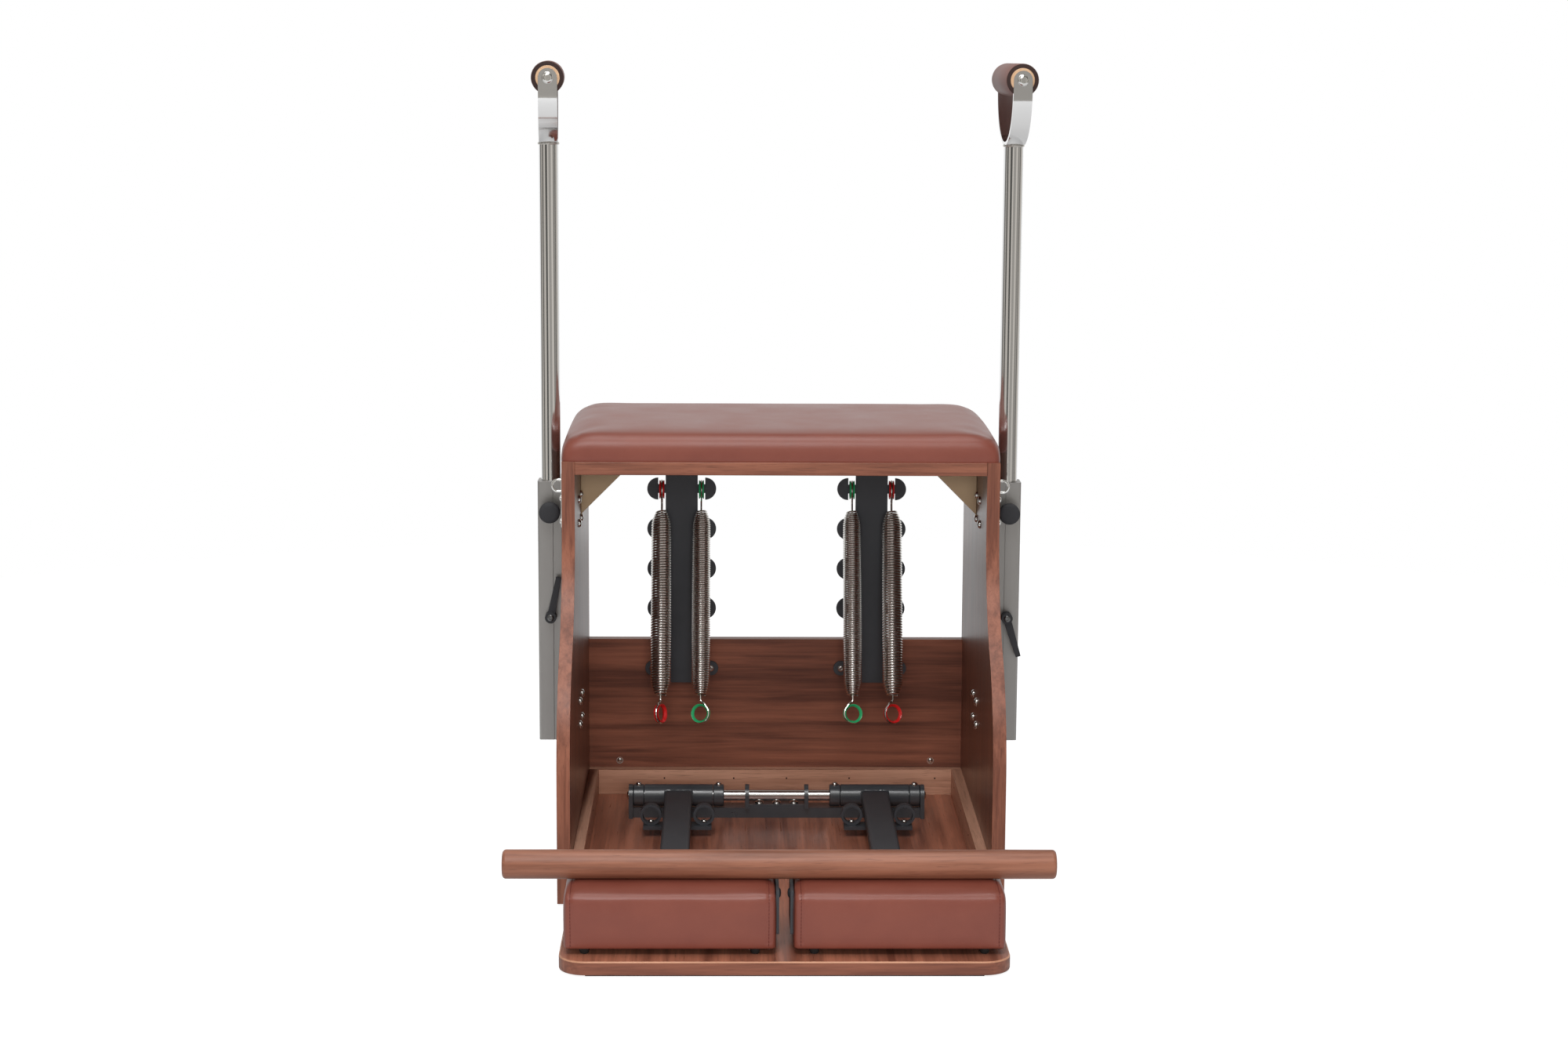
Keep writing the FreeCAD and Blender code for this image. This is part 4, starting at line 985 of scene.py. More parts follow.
@dataclass
class Carcass(SubAssembly):
    """Base, side panels, seat board, back board, rails and gussets."""

    body: str = "chair"
    ease: float = 1.0 * MM
    base_ease: float = 1.8 * MM
    face_share: float = 0.8
    top_share: float = 0.97
    rail_thickness: float = 15.0 * MM
    rail_margin: float = 1.0 * MM
    nail_radius: float = 1.3 * MM
    nail_depth: float = 0.25 * MM
    nail_drop: float = 14.0 * MM
    nail_sides: int = 14
    nail_shares: Profile = ((1.0, 0.0), (1.0, 1.0), (0.5, 1.0))
    nails_across: tuple[float, ...] = (-168.0 * MM, -63.0 * MM, 17.0 * MM, 112.0 * MM, 242.0 * MM)
    nails_along: tuple[float, ...] = (-60.0 * MM, 70.0 * MM, 200.0 * MM, 330.0 * MM)

    def board(self, node: str, slot: str, finishes: Sequence[Finish], choose: FaceChoice,
              ease: float | None = None) -> None:
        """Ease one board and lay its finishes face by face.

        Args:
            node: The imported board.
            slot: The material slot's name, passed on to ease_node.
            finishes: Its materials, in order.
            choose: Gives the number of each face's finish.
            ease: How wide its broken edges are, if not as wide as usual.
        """
        piece = self.ease_node(node, self.body, slot, finishes, self.ease if ease is None else ease)
        lay_finishes(piece, choose)

    def across(self, axis: int) -> FaceChoice:
        """Return a choice of finish 0 for broad faces across an axis, and 1 for the edges."""
        return lambda face: 0 if abs(face.normal[axis]) > self.face_share else 1

    def base_finish(self, face: bpy.types.MeshPolygon) -> int:
        """Choose a finish for a face of the base.

        Args:
            face: The face.

        Returns:
            0 for a broad face, 1 for front and rear, 2 for the sides, 3 for the broken upper edge, which
            takes a paler walnut as a painted highlight.
        """
        if abs(face.normal.z) > self.top_share:
            return 0
        if face.normal.z > 1.0 - self.face_share:
            return 3
        return 1 if abs(face.normal.y) > abs(face.normal.x) else 2

    def build(self) -> None:
        """Model and dress every board, then the small fixings."""
        for side in ("left", "right"):
            self.board(f"{side}_panel", "walnut", [PANEL_FACE, PANEL_EDGE], self.across(0))
        # Finish 3 paints a highlight on the base's upper broken edges.
        base_finishes = [BASE_FACE, BASE_EDGE, SIDE_EDGE, PAINTED_EDGE_HIGHLIGHT]
        self.board("base_plate", "walnut", base_finishes, self.base_finish, self.base_ease)
        self.board("seat_board", "walnut", [CROSS_FACE, FRONT_EDGE], self.across(2))
        self.board("back_board", "walnut", [BACK_FACE, FRONT_EDGE], self.across(1))
        rear_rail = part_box("floor_rails")[1].y - self.rail_thickness - self.rail_margin
        # The rails' paler walnut is painted light for the shaded inside of the carcass.
        self.board("floor_rails", "walnut", [RAIL_WOOD_WITH_PAINTED_LIGHT, SIDE_RAIL_WOOD_WITH_PAINTED_LIGHT],
                   lambda face: 0 if face.center.y > rear_rail else 1)
        # The gussets' wood is partly painted light under the seat.
        self.board("corner_gussets", "plain_wood", [PLAIN_WOOD_WITH_PAINTED_LIGHT], lambda face: 0)
        self.keep("base_feet", RUBBER)
        self.nails()

    def nails(self) -> None:
        """Sink a row of nail heads into the rails."""
        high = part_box("floor_rails")[1]
        rear_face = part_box("back_board")[0].y - self.rail_thickness
        side_face = high.x - self.rail_thickness
        level = high.z - self.nail_drop
        places = [(Vector((x, rear_face, level)), FORWARD) for x in self.nails_across]
        for side in SIDES:
            inward = Vector((-side, 0.0, 0.0))
            places += [(Vector((side * side_face, y, level)), inward) for y in self.nails_along]
        profile = scaled(self.nail_shares, self.nail_radius, self.nail_depth)
        dot = turned("rail_nail", profile, sides=self.nail_sides)
        self.settle(copies("rail_nails", dot, places), self.body, "black_steel", [NAIL_DARK])


# Soft goods

@dataclass
class Upholstery(SubAssembly):
    """A leather pad, blown up from its packed form by a cloth simulation."""

    node: str
    body: str
    inset: float = 0.3 * MM
    tuck: float = 7.0 * MM
    flat_rim: float = 1.0 * MM
    voxel: float = 5.0 * MM
    smoothing: int = 3
    smoothing_share: float = 0.5
    widen_share: float = 1.0
    pressure: float = 4.0
    frames: int = 20
    quality: int = 5
    mass: float = 0.3
    stretch_stiffness: float = 25.0
    bending_stiffness: float = 8.0
    cap: float = 3.0 * MM
    held: float = 8.0 * MM
    rounds: int = 14
    fill: float = 0.85

    def form(self) -> Piece:
        """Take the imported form, close it below, draw it in a little and tuck it under.

        Returns:
            The form, evenly meshed.
        """
        piece = node_copy(self.node, f"{self.node}_leather")
        with edit_mode(piece, "VERT"):
            bpy.ops.mesh.select_all(action="SELECT")
            bpy.ops.mesh.convex_hull()
            bpy.ops.mesh.select_all(action="SELECT")
            bpy.ops.transform.shrink_fatten(value=-self.inset)
        low = min(vertex.co.z for vertex in piece.data.vertices)
        for vertex in piece.data.vertices:
            vertex.co.x *= self.widen_share
            if vertex.co.z < low + self.flat_rim:
                vertex.co.z -= self.tuck
        remesh = piece.modifiers.new("even", "REMESH")
        remesh.mode = "VOXEL"
        remesh.voxel_size = self.voxel
        apply_modifiers(piece)
        with edit_mode(piece, "VERT"):
            bpy.ops.mesh.select_all(action="SELECT")
            bpy.ops.mesh.vertices_smooth(factor=self.smoothing_share, repeat=self.smoothing)
        return piece

    def hold_underside(self, piece: Piece) -> str:
        """Pin the underside, which stays flat on its board.

        Args:
            piece: The form.

        Returns:
            The name of the pinned points' group.
        """
        group = piece.vertex_groups.new(name="underside")
        low = min(vertex.co.z for vertex in piece.data.vertices)
        held = [vertex.index for vertex in piece.data.vertices if vertex.co.z < low + self.held]
        group.add(held, 1.0, "REPLACE")
        return group.name

    def blow_up(self, piece: Piece) -> None:
        """Press the cover outwards from inside, and keep the swelling small and even.

        Args:
            piece: The form.
        """
        before = [vertex.co.copy() for vertex in piece.data.vertices]
        cloth = piece.modifiers.new("cover", "CLOTH")
        settings = cloth.settings
        settings.quality = self.quality
        settings.mass = self.mass
        settings.tension_stiffness = self.stretch_stiffness
        settings.compression_stiffness = self.stretch_stiffness
        settings.bending_stiffness = self.bending_stiffness
        settings.use_pressure = True
        settings.uniform_pressure_force = self.pressure
        settings.vertex_group_mass = self.hold_underside(piece)
        settings.effector_weights.gravity = 0.0
        scene = bpy.context.scene
        for number in range(1, self.frames + 1):
            scene.frame_set(number)
        apply_modifiers(piece)
        scene.frame_set(1)
        moves = [self.capped(vertex.co - start) for vertex, start in zip(piece.data.vertices, before)]
        for vertex, start, move in zip(piece.data.vertices, before, self.evened(piece, moves)):
            vertex.co = start + move

    def capped(self, move: Vector) -> Vector:
        """Shorten a move that is longer than the cap."""
        return move * (self.cap / move.length) if move.length > self.cap else move

    def evened(self, piece: Piece, moves: list[Vector]) -> list[Vector]:
        """Blend each point's move with its neighbours', so that the cover swells without dents.

        Args:
            piece: The form.
            moves: How far each point went.

        Returns:
            The blended moves.
        """
        for _ in range(self.rounds):
            sums = [move.copy() for move in moves]
            counts = [1] * len(moves)
            for edge in piece.data.edges:
                first, second = edge.vertices
                sums[first] += moves[second]
                sums[second] += moves[first]
                counts[first] += 1
                counts[second] += 1
            moves = [total / count for total, count in zip(sums, counts)]
        return moves

    def subdivide(self, piece: Piece) -> None:
        """Add one smooth subdivision.

        Args:
            piece: The form.
        """
        modifier = piece.modifiers.new("round", "SUBSURF")
        modifier.levels = 1
        modifier.render_levels = 1
        apply_modifiers(piece)

    def build(self) -> Piece:
        """Model the pad and dress it.

        Returns:
            The pad.
        """
        piece = self.form()
        self.blow_up(piece)
        self.subdivide(piece)
        smooth(piece, math.pi)
        self.settle(piece, self.body, "leather", [LEATHER], self.node)
        return piece


@dataclass
class StitchLine(SubAssembly):
    """A row of stitches round a pad, sunk into its leather."""

    pad: Piece
    body: str
    across: float
    end: str
    pitch: float = 4.2 * MM
    length: float = 3.0 * MM
    thread: float = 0.45 * MM
    thread_sides: int = 6
    proud_share: float = 0.6
    sink: float = 0.7 * MM
    width: float = 3.0 * MM
    reach_share: float = 2.0
    plain_height: float = 8.0 * MM
    middle_share: float = 0.4
    start: float = math.radians(-25.0)
    sweep: float = math.radians(230.0)
    steps: int = 400
    outside: float = 300.0 * MM

    def draw_in(self) -> None:
        """Pull the leather in along the line."""
        low = min(vertex.co.z for vertex in self.pad.data.vertices)
        for vertex in self.pad.data.vertices:
            away = (vertex.co.x - self.across) / self.width
            if abs(away) < self.reach_share and vertex.co.z > low + self.plain_height:
                vertex.co -= vertex.normal * self.sink * math.exp(-away * away)

    def places(self) -> list[tuple[Vector, Vector, Vector]]:
        """Find where the stitches sit.

        Returns:
            Place, outward direction and run of each stitch.
        """
        corners = [Vector(corner) for corner in self.pad.bound_box]
        low = Vector((self.across, min(c.y for c in corners), min(c.z for c in corners)))
        high = Vector((self.across, max(c.y for c in corners), max(c.z for c in corners)))
        middle = (low + high) / 2
        middle.z = low.z + self.middle_share * (high.z - low.z)
        outline = []
        for step in range(self.steps + 1):
            angle = self.start + self.sweep * step / self.steps
            reach = Vector((0.0, math.cos(angle), math.sin(angle)))
            hit, place, normal, _ = self.pad.ray_cast(middle + reach * self.outside, -reach)
            if hit:
                outline.append((place, normal))
        return self.spread(outline)

    def spread(self, outline: list[tuple[Vector, Vector]]) -> list[tuple[Vector, Vector, Vector]]:
        """Space the stitches evenly along an outline.

        Args:
            outline: Place and outward direction of close points round the pad.

        Returns:
            Place, outward direction and run of each stitch.
        """
        found = []
        walked = 0.0
        for (place, normal), (following, _) in zip(outline, outline[1:]):
            walked += (following - place).length
            if walked >= self.pitch:
                walked = 0.0
                found.append((place, normal, (following - place).normalized()))
        return found

    def build(self) -> None:
        """Sew the line."""
        self.draw_in()
        proud = self.thread * self.proud_share
        places = [(place + normal * proud, run) for place, normal, run in self.places()]
        deselect_all()
        bpy.ops.mesh.primitive_cylinder_add(vertices=self.thread_sides, radius=self.thread, depth=self.length)
        row = copies(f"{self.pad.name}_stitches_{self.end}", bpy.context.active_object, places)
        self.settle(smooth(row), self.body, "leather", [THREAD])


# Spring tree

@dataclass(frozen=True)
class SpringGrade:
    """One strength of spring: its coil and the colour of its eyes."""

    outer_radius: float
    turns: int
    eye_slot: str
    eye_finish: Finish


HEAVY = SpringGrade(outer_radius=15.5 * MM, turns=70, eye_slot="red_eye", eye_finish=RED_ENAMEL)
LIGHT = SpringGrade(outer_radius=14.0 * MM, turns=83, eye_slot="green_eye", eye_finish=GREEN_ENAMEL)


@dataclass
class Spring(SubAssembly):
    """One extension spring with its two thimbles and wire hooks."""

    name: str
    grade: SpringGrade
    across: float
    lower_turn: float
    hook_side: float
    upper_eye: Span = (395.5 * MM, 487.0 * MM)
    lean: float = math.radians(18.0)
    reach: float = 335.0 * MM
    coil_start: float = 33.0 * MM
    coil_length: float = 275.0 * MM
    close_share: float = 0.43
    taper: float = 22.0 * MM
    taper_power: float = 1.6
    throat: float = 7.0 * MM
    thimble_radius: float = 14.0 * MM
    thimble_bore: float = 10.6 * MM
    thimble_groove: float = 12.0 * MM
    thimble_half_width: float = 3.5 * MM
    thimble_sides: int = 48
    groove_share: float = 0.3
    flange_shares: Profile = ((0.985, 0.72), (1.0, 1.0), (0.97, 1.1), (0.9, 0.96))
    bore_shares: Profile = ((1.1, 0.6), (1.0, 0.2))
    hook_inside: float = 8.0 * MM
    hook_shares: Profile = ((0.0, 1.75), (0.0, 1.35), (0.45, 1.08))
    hook_loose_share: float = 1.015
    hook_start: float = math.radians(50.0)
    hook_step: float = math.radians(26.0)
    hook_points: int = 12
    wire_sides: int = 10
    steps: int = 22

    @property
    def wire_radius(self) -> float:
        """Half the wire's thickness, with a narrow gap between the turns."""
        return self.close_share * self.coil_length / self.grade.turns

    @property
    def coil_radius(self) -> float:
        """Distance of the wire's middle from the spring's axis."""
        return self.grade.outer_radius - self.wire_radius

    def hang(self, piece: Piece) -> Piece:
        """Lean a piece modelled downwards from the origin and hang it on its lug."""
        piece.data.transform(Matrix.Translation((self.across, *self.upper_eye))
                             @ Matrix.Rotation(-self.lean, 4, "X"))
        return piece

    def coil(self) -> Piece:
        """Wind the wire and close the coil in at both ends.

        Returns:
            The coil, hanging from the origin.
        """
        deselect_all()
        bottom = -self.coil_start - self.coil_length
        bpy.ops.mesh.primitive_circle_add(vertices=self.wire_sides, radius=self.wire_radius,
                                          rotation=(math.pi / 2, 0.0, 0.0),
                                          location=(self.coil_radius, 0.0, bottom))
        piece = bpy.context.active_object
        piece.name = f"{self.name}_coil"
        apply_transforms(piece)
        screw = piece.modifiers.new("wind", "SCREW")
        screw.iterations = self.grade.turns
        screw.screw_offset = self.coil_length / self.grade.turns
        screw.steps = self.steps
        screw.render_steps = self.steps
        apply_modifiers(piece)
        for vertex in piece.data.vertices:
            from_end = min(vertex.co.z - bottom, -self.coil_start - vertex.co.z)
            share = 1.0 - max(0.0, min(1.0, from_end / self.taper))
            inward = (self.coil_radius - self.throat) * share ** self.taper_power
            radial = Vector((vertex.co.x, vertex.co.y, 0.0)).normalized()
            vertex.co -= radial * inward
        with edit_mode(piece, "VERT"):
            bpy.ops.mesh.select_all(action="SELECT")
            bpy.ops.mesh.fill_holes(sides=self.wire_sides)
            bpy.ops.mesh.normals_make_consistent(inside=False)
        return smooth(piece, math.pi)

    def thimble(self, name: str) -> Piece:
        """Turn one grooved eye about the origin.

        Args:
            name: The eye's name.

        Returns:
            The eye.
        """
        half = self.thimble_half_width
        groove = (self.thimble_groove, half * self.groove_share)
        flange = scaled(self.flange_shares, self.thimble_radius, half)
        bore = scaled(self.bore_shares, self.thimble_bore, half)
        upper = [groove, *flange, *bore]
        lower = [(radius, -height) for radius, height in reversed(upper)]
        rim = lower.index((self.thimble_radius, -half))
        return turned(name, [*lower[rim:], *upper, *lower[:rim]], hollow=True, sides=self.thimble_sides)

    def hook(self, name: str, shank: float, side: float) -> Piece:
        """Bend a wire from the coil round an eye in the plane of x and z, with the coil above.

        Args:
            name: The wire's name.
            shank: How far above the eye's middle the wire leaves the coil.
            side: The side of the eye that the wire runs down first.

        Returns:
            The wire about the eye's middle.
        """
        bend = self.thimble_groove + self.wire_radius
        points = [Vector((0.0, 0.0, shank))]
        for out_share, up_share in self.hook_shares:
            points.append(Vector((side * bend * out_share, 0.0, bend * up_share)))
        for step in range(self.hook_points):
            angle = self.hook_start - self.hook_step * step
            around = Vector((side * bend * math.cos(angle), 0.0, bend * math.sin(angle)))
            points.append(around * self.hook_loose_share)
        return wire(name, points, self.wire_radius)

    def build(self) -> None:
        """Model the coil, eyes and hooks and hang them up."""
        coil = self.hang(self.coil())
        quarter_turn = math.pi / 2
        lower_place = Matrix.Translation((0.0, 0.0, -self.reach)) @ Matrix.Rotation(self.lower_turn, 4, "Z")
        lower_shank = self.reach - self.coil_start - self.coil_length + self.hook_inside
        upper = self.hook(f"{self.name}_upper_hook", self.coil_start + self.hook_inside, self.hook_side)
        upper.data.transform(Matrix.Rotation(quarter_turn, 4, "Z") @ Matrix.Rotation(math.pi, 4, "X"))
        lower = self.hook(f"{self.name}_lower_hook", lower_shank, self.hook_side)
        lower.data.transform(lower_place)
        wound = join(f"{self.name}_wound", [coil, self.hang(upper), self.hang(lower)])
        self.settle(wound, self.name, "spring_steel", [SPRING_WIRE], self.name)
        first = self.thimble(f"{self.name}_upper_eye")
        first.data.transform(Matrix.Rotation(quarter_turn, 4, "Y"))
        second = self.thimble(f"{self.name}_lower_eye")
        second.data.transform(lower_place @ Matrix.Rotation(quarter_turn, 4, "X"))
        eyes = join(f"{self.name}_thimbles", [self.hang(first), self.hang(second)])
        self.settle(eyes, self.name, self.grade.eye_slot, [self.grade.eye_finish], f"{self.name}_eyes")


@dataclass
class SpringTree(SubAssembly):
    """The two lugged plates, their screws and the four springs."""

    ease: float = 0.7 * MM
    plate_offset: float = 142.0 * MM
    lug_reach: float = 29.5 * MM
    ear_reach: float = 44.0 * MM
    plate_face: float = 395.0 * MM
    ear_level: float = 214.0 * MM
    ear_bolt: SocketBolt = SocketBolt(head=5.2 * MM, dome=3.2 * MM)
    back_screw: DomeScrew = DomeScrew(head=3.6 * MM, dome=2.6 * MM, washer=5.4 * MM)
    back_screw_place: Triple = (236.0 * MM, 400.0 * MM, 70.0 * MM)
    strap_face: float = 302.0 * MM
    strap_depth: float = 70.0 * MM
    strap_levels: tuple[float, ...] = (492.0 * MM, 524.0 * MM)

    def build(self) -> None:
        """Model and dress the plates, screws and springs."""
        self.ease_node("spring_plates", "chair", "black_steel", [ARM_STEEL], self.ease)
        self.screws()
        outer = self.plate_offset + self.lug_reach
        inner = self.plate_offset - self.lug_reach
        for name, grade, across, lower_turn, hook_side in (
                ("left_outer_spring", HEAVY, -outer, math.radians(63.0), -1.0),
                ("left_inner_spring", LIGHT, -inner, math.radians(-26.0), 1.0),
                ("right_inner_spring", LIGHT, inner, math.radians(20.0), -1.0),
                ("right_outer_spring", HEAVY, outer, math.radians(30.0), -1.0)):
            Spring(name, grade, across, lower_turn, hook_side).build()

    def screws(self) -> None:
        """Put the ear bolts on the plates and the cup screws on the back board and strap eyes."""
        across = [side * self.plate_offset + end * self.ear_reach for side in SIDES for end in SIDES]
        ears = [(Vector((x, self.plate_face, self.ear_level)), FORWARD) for x in across]
        x, y, z = self.back_screw_place
        backs = [(Vector((side * x, y, z)), FORWARD) for side in SIDES]
        eyes = [(Vector((side * self.strap_face, self.strap_depth, level)), Vector((side, 0.0, 0.0)))
                for side in SIDES for level in self.strap_levels]
        heads = join("wood_screw_heads", [self.ear_bolt.set_at("ear_bolts", ears),
                                          self.back_screw.set_at("back_screws", backs),
                                          self.back_screw.set_at("strap_screws", eyes)])
        self.settle(heads, "chair", "bright_fastener", [BRIGHT], "wood_screws")


# Axle

@dataclass
class Axle(SubAssembly):
    """Black bar, centre bracket, polished shaft and its collars."""

    middle: Span = AXLE_PLACE
    ease: float = 0.8 * MM
    hub_radius: float = HUB_RADIUS
    shaft_radius: float = 8.0 * MM
    collar_length: float = 16.0 * MM
    collar_starts: tuple[float, ...] = (-210.5 * MM, -93.5 * MM, 77.5 * MM, 194.5 * MM)
    chamfer: float = 1.2 * MM
    collar_sides: int = 56
    collar_screw: DomeScrew = DomeScrew(head=4.6 * MM, dome=4.6 * MM, washer=5.0 * MM)
    screw_seat: float = 15.2 * MM
    bolt: SocketBolt = SocketBolt(head=6.5 * MM, dome=3.0 * MM)
    bolt_level: float = 41.0 * MM
    bolt_pitch: float = 25.5 * MM
    bar_end: float = 217.0 * MM

    def build(self) -> None:
        """Model and dress the bar, bracket, shaft and collars."""
        for node in ("axle_bar", "centre_bracket"):
            self.ease_node(node, "chair", "black_steel", [BLACK_STEEL], self.ease)
        self.ease_node("axle_shaft", "chair", "polished_steel", [CROSS_POLISHED], self.ease, "polished")
        self.collars()
        self.bolts()

    def collars(self) -> None:
        """Turn the four chamfered collars and their dome screws."""
        y, z = self.middle
        bore = self.shaft_radius
        length = self.collar_length
        rim = self.hub_radius - self.chamfer
        lip = bore + self.chamfer
        inner_end = length - self.chamfer
        ring = turned("collar", [
            (rim, 0.0), (self.hub_radius, self.chamfer), (self.hub_radius, inner_end), (rim, length),
            (lip, length), (bore, inner_end), (bore, self.chamfer), (lip, 0.0)],
            hollow=True, sides=self.collar_sides)
        along = Vector((1.0, 0.0, 0.0))
        rings = copies("shaft_collars_turned", ring, [(Vector((x, y, z)), along) for x in self.collar_starts])
        self.settle(rings, "chair", "black_steel", [BLACK_STEEL], "shaft_collars")
        places = [(Vector((x + length / 2, y, z + self.screw_seat)), UP) for x in self.collar_starts]
        heads = self.collar_screw.set_at("collar_screw_heads", places)
        self.settle(heads, "chair", "bright_fastener", [BRIGHT], "collar_screws")

    def bolts(self) -> None:
        """Put socket bolts into the bracket's floor and the shaft's ends."""
        y, z = self.middle
        places = [(Vector((step * self.bolt_pitch, y, self.bolt_level)), UP) for step in (-1, 0, 1)]
        places += [(Vector((side * self.bar_end, y, z)), Vector((side, 0.0, 0.0))) for side in SIDES]
        heads = self.bolt.set_at("axle_bolt_heads", places)
        self.settle(heads, "chair", "bright_fastener", [BRIGHT], "axle_bolts")


# Pedals

@dataclass
class Pedal(SubAssembly):
    """One pedal: welded frame, ring eyes, board, pad and feet."""

    name: str
    side: float
    arm_offset: float = 144.0 * MM
    arm_half: float = 20.0 * MM
    ease: float = 0.8 * MM
    ring_offset: float = 38.0 * MM
    ring_y: float = 156.5 * MM
    ring_seat: float = 41.55 * MM
    eye_bolt: SocketBolt = SocketBolt(head=4.5 * MM, dome=3.0 * MM)
    foot_radius: float = 6.5 * MM
    foot_places: Span = (37.0 * MM, 250.0 * MM)
    foot_shares: Profile = ((0.72, 0.0), (0.84, 0.12), (1.0, 0.9), (0.96, 1.0))
    foot_sides: int = 28
    foot_y: float = -382.0 * MM
    foot_span: Span = (21.0 * MM, 29.0 * MM)
    pad_tuck: float = 2.0 * MM
    pad_voxel: float = 3.0 * MM
    pad_smoothing: int = 1
    pad_cap: float = 1.5 * MM
    pad_held: float = 4.0 * MM
    stitch_inset: float = 9.0 * MM
    weld_radius: float = 1.7 * MM
    weld_ripple: float = 0.3 * MM
    weld_seed: int = 3
    weld_shares: tuple[float, ...] = (0.15, 0.3, 0.5, 0.7, 0.85)
    axle: Span = AXLE_PLACE
    hub_radius: float = HUB_RADIUS
    arm_span: Span = (43.0 * MM, 63.0 * MM)

    @property
    def body(self) -> str:
        """The body that the pedal's pieces ride on."""
        return f"{self.name}_pedal"

    def build(self) -> None:
        """Model and dress the whole pedal."""
        self.steelwork()
        self.plastics()
        self.upholstery()

    def steelwork(self) -> None:
        """Ease the frame, rings and end cap, and add bolts and welds."""
        hub_front = self.axle[0] - self.hub_radius
        for node in ("pedal_frame", "ring_eyes", "pad_end_cap"):
            piece = self.ease_node(f"{self.name}_{node}", self.body, "black_steel", [BLACK_STEEL, ARM_STEEL],
                                   self.ease)
            lay_finishes(piece, lambda face: 0 if face.center.y > hub_front else 1)
        self.keep(f"{self.name}_hub_bushes", BRONZE)
        ring_places = [self.side * self.arm_offset + across * self.ring_offset for across in SIDES]
        places = [(Vector((x, self.ring_y, self.ring_seat)), UP) for x in ring_places]
        heads = self.eye_bolt.set_at(f"{self.name}_eye_bolt_heads", places)
        self.settle(heads, self.body, "bright_fastener", [BRIGHT], f"{self.name}_eye_bolts")
        self.weld()

    def weld(self) -> None:
        """Lay the weld bead where the arm meets the hub."""
        y, z = self.axle
        middle = self.side * self.arm_offset
        points = []
        for height in (self.arm_span[0] + self.weld_radius, z, self.arm_span[1]):
            ahead = math.sqrt(self.hub_radius ** 2 - (height - z) ** 2)
            points.append(Vector((0.0, y - ahead, height)))
        left = [point + Vector((middle - self.arm_half, 0.0, 0.0)) for point in points]
        right = [point + Vector((middle + self.arm_half, 0.0, 0.0)) for point in reversed(points)]
        over = [left[-1].lerp(right[0], share) for share in self.weld_shares]
        bead = wire(f"{self.name}_arm_weld", [*left, *over, *right], self.weld_radius)
        with edit_mode(bead, "VERT"):
            bpy.ops.mesh.select_all(action="SELECT")
            bpy.ops.transform.vertex_random(offset=self.weld_ripple, seed=self.weld_seed)
        self.settle(bead, self.body, "black_steel", [BLACK_STEEL])

    def plastics(self) -> None:
        """Ease the board and turn the rubber feet."""
        board = f"{self.name}_pedal_board"
        self.ease_node(board, self.body, "black_plastic", [BLACK_PLASTIC], self.ease)
        tall = self.foot_span[1] - self.foot_span[0]
        profile = scaled(self.foot_shares, self.foot_radius, tall)
        foot = turned(f"{self.name}_foot", profile, sides=self.foot_sides)
        places = [(Vector((self.side * x, self.foot_y, self.foot_span[0])), UP) for x in self.foot_places]
        feet = copies(f"{self.name}_feet_turned", foot, places)
        self.settle(feet, self.body, "rubber", [RUBBER], f"{self.name}_pedal_feet")

    def upholstery(self) -> None:
        """Blow up the pad and sew its two end seams."""
        node = f"{self.name}_pedal_pad"
        pad = Upholstery(node, self.body, tuck=self.pad_tuck, voxel=self.pad_voxel,
                         smoothing=self.pad_smoothing, cap=self.pad_cap, held=self.pad_held).build()
        low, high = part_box(node)
        middle = (low.x + high.x) / 2
        for across in (low.x + self.stitch_inset, high.x - self.stitch_inset):
            end = "outer" if abs(across) > abs(middle) else "inner"
            StitchLine(pad, self.body, across, end).build()


@dataclass
class Dowel(SubAssembly):
    """The loose wooden bar across both pads."""

    ease: float = 0.6 * MM

    def build(self) -> None:
        """Model and dress the bar."""
        self.ease_node("pedal_dowel", "dowel", "dowel_wood", [DOWEL_WOOD], self.ease, "turned")


# Handles

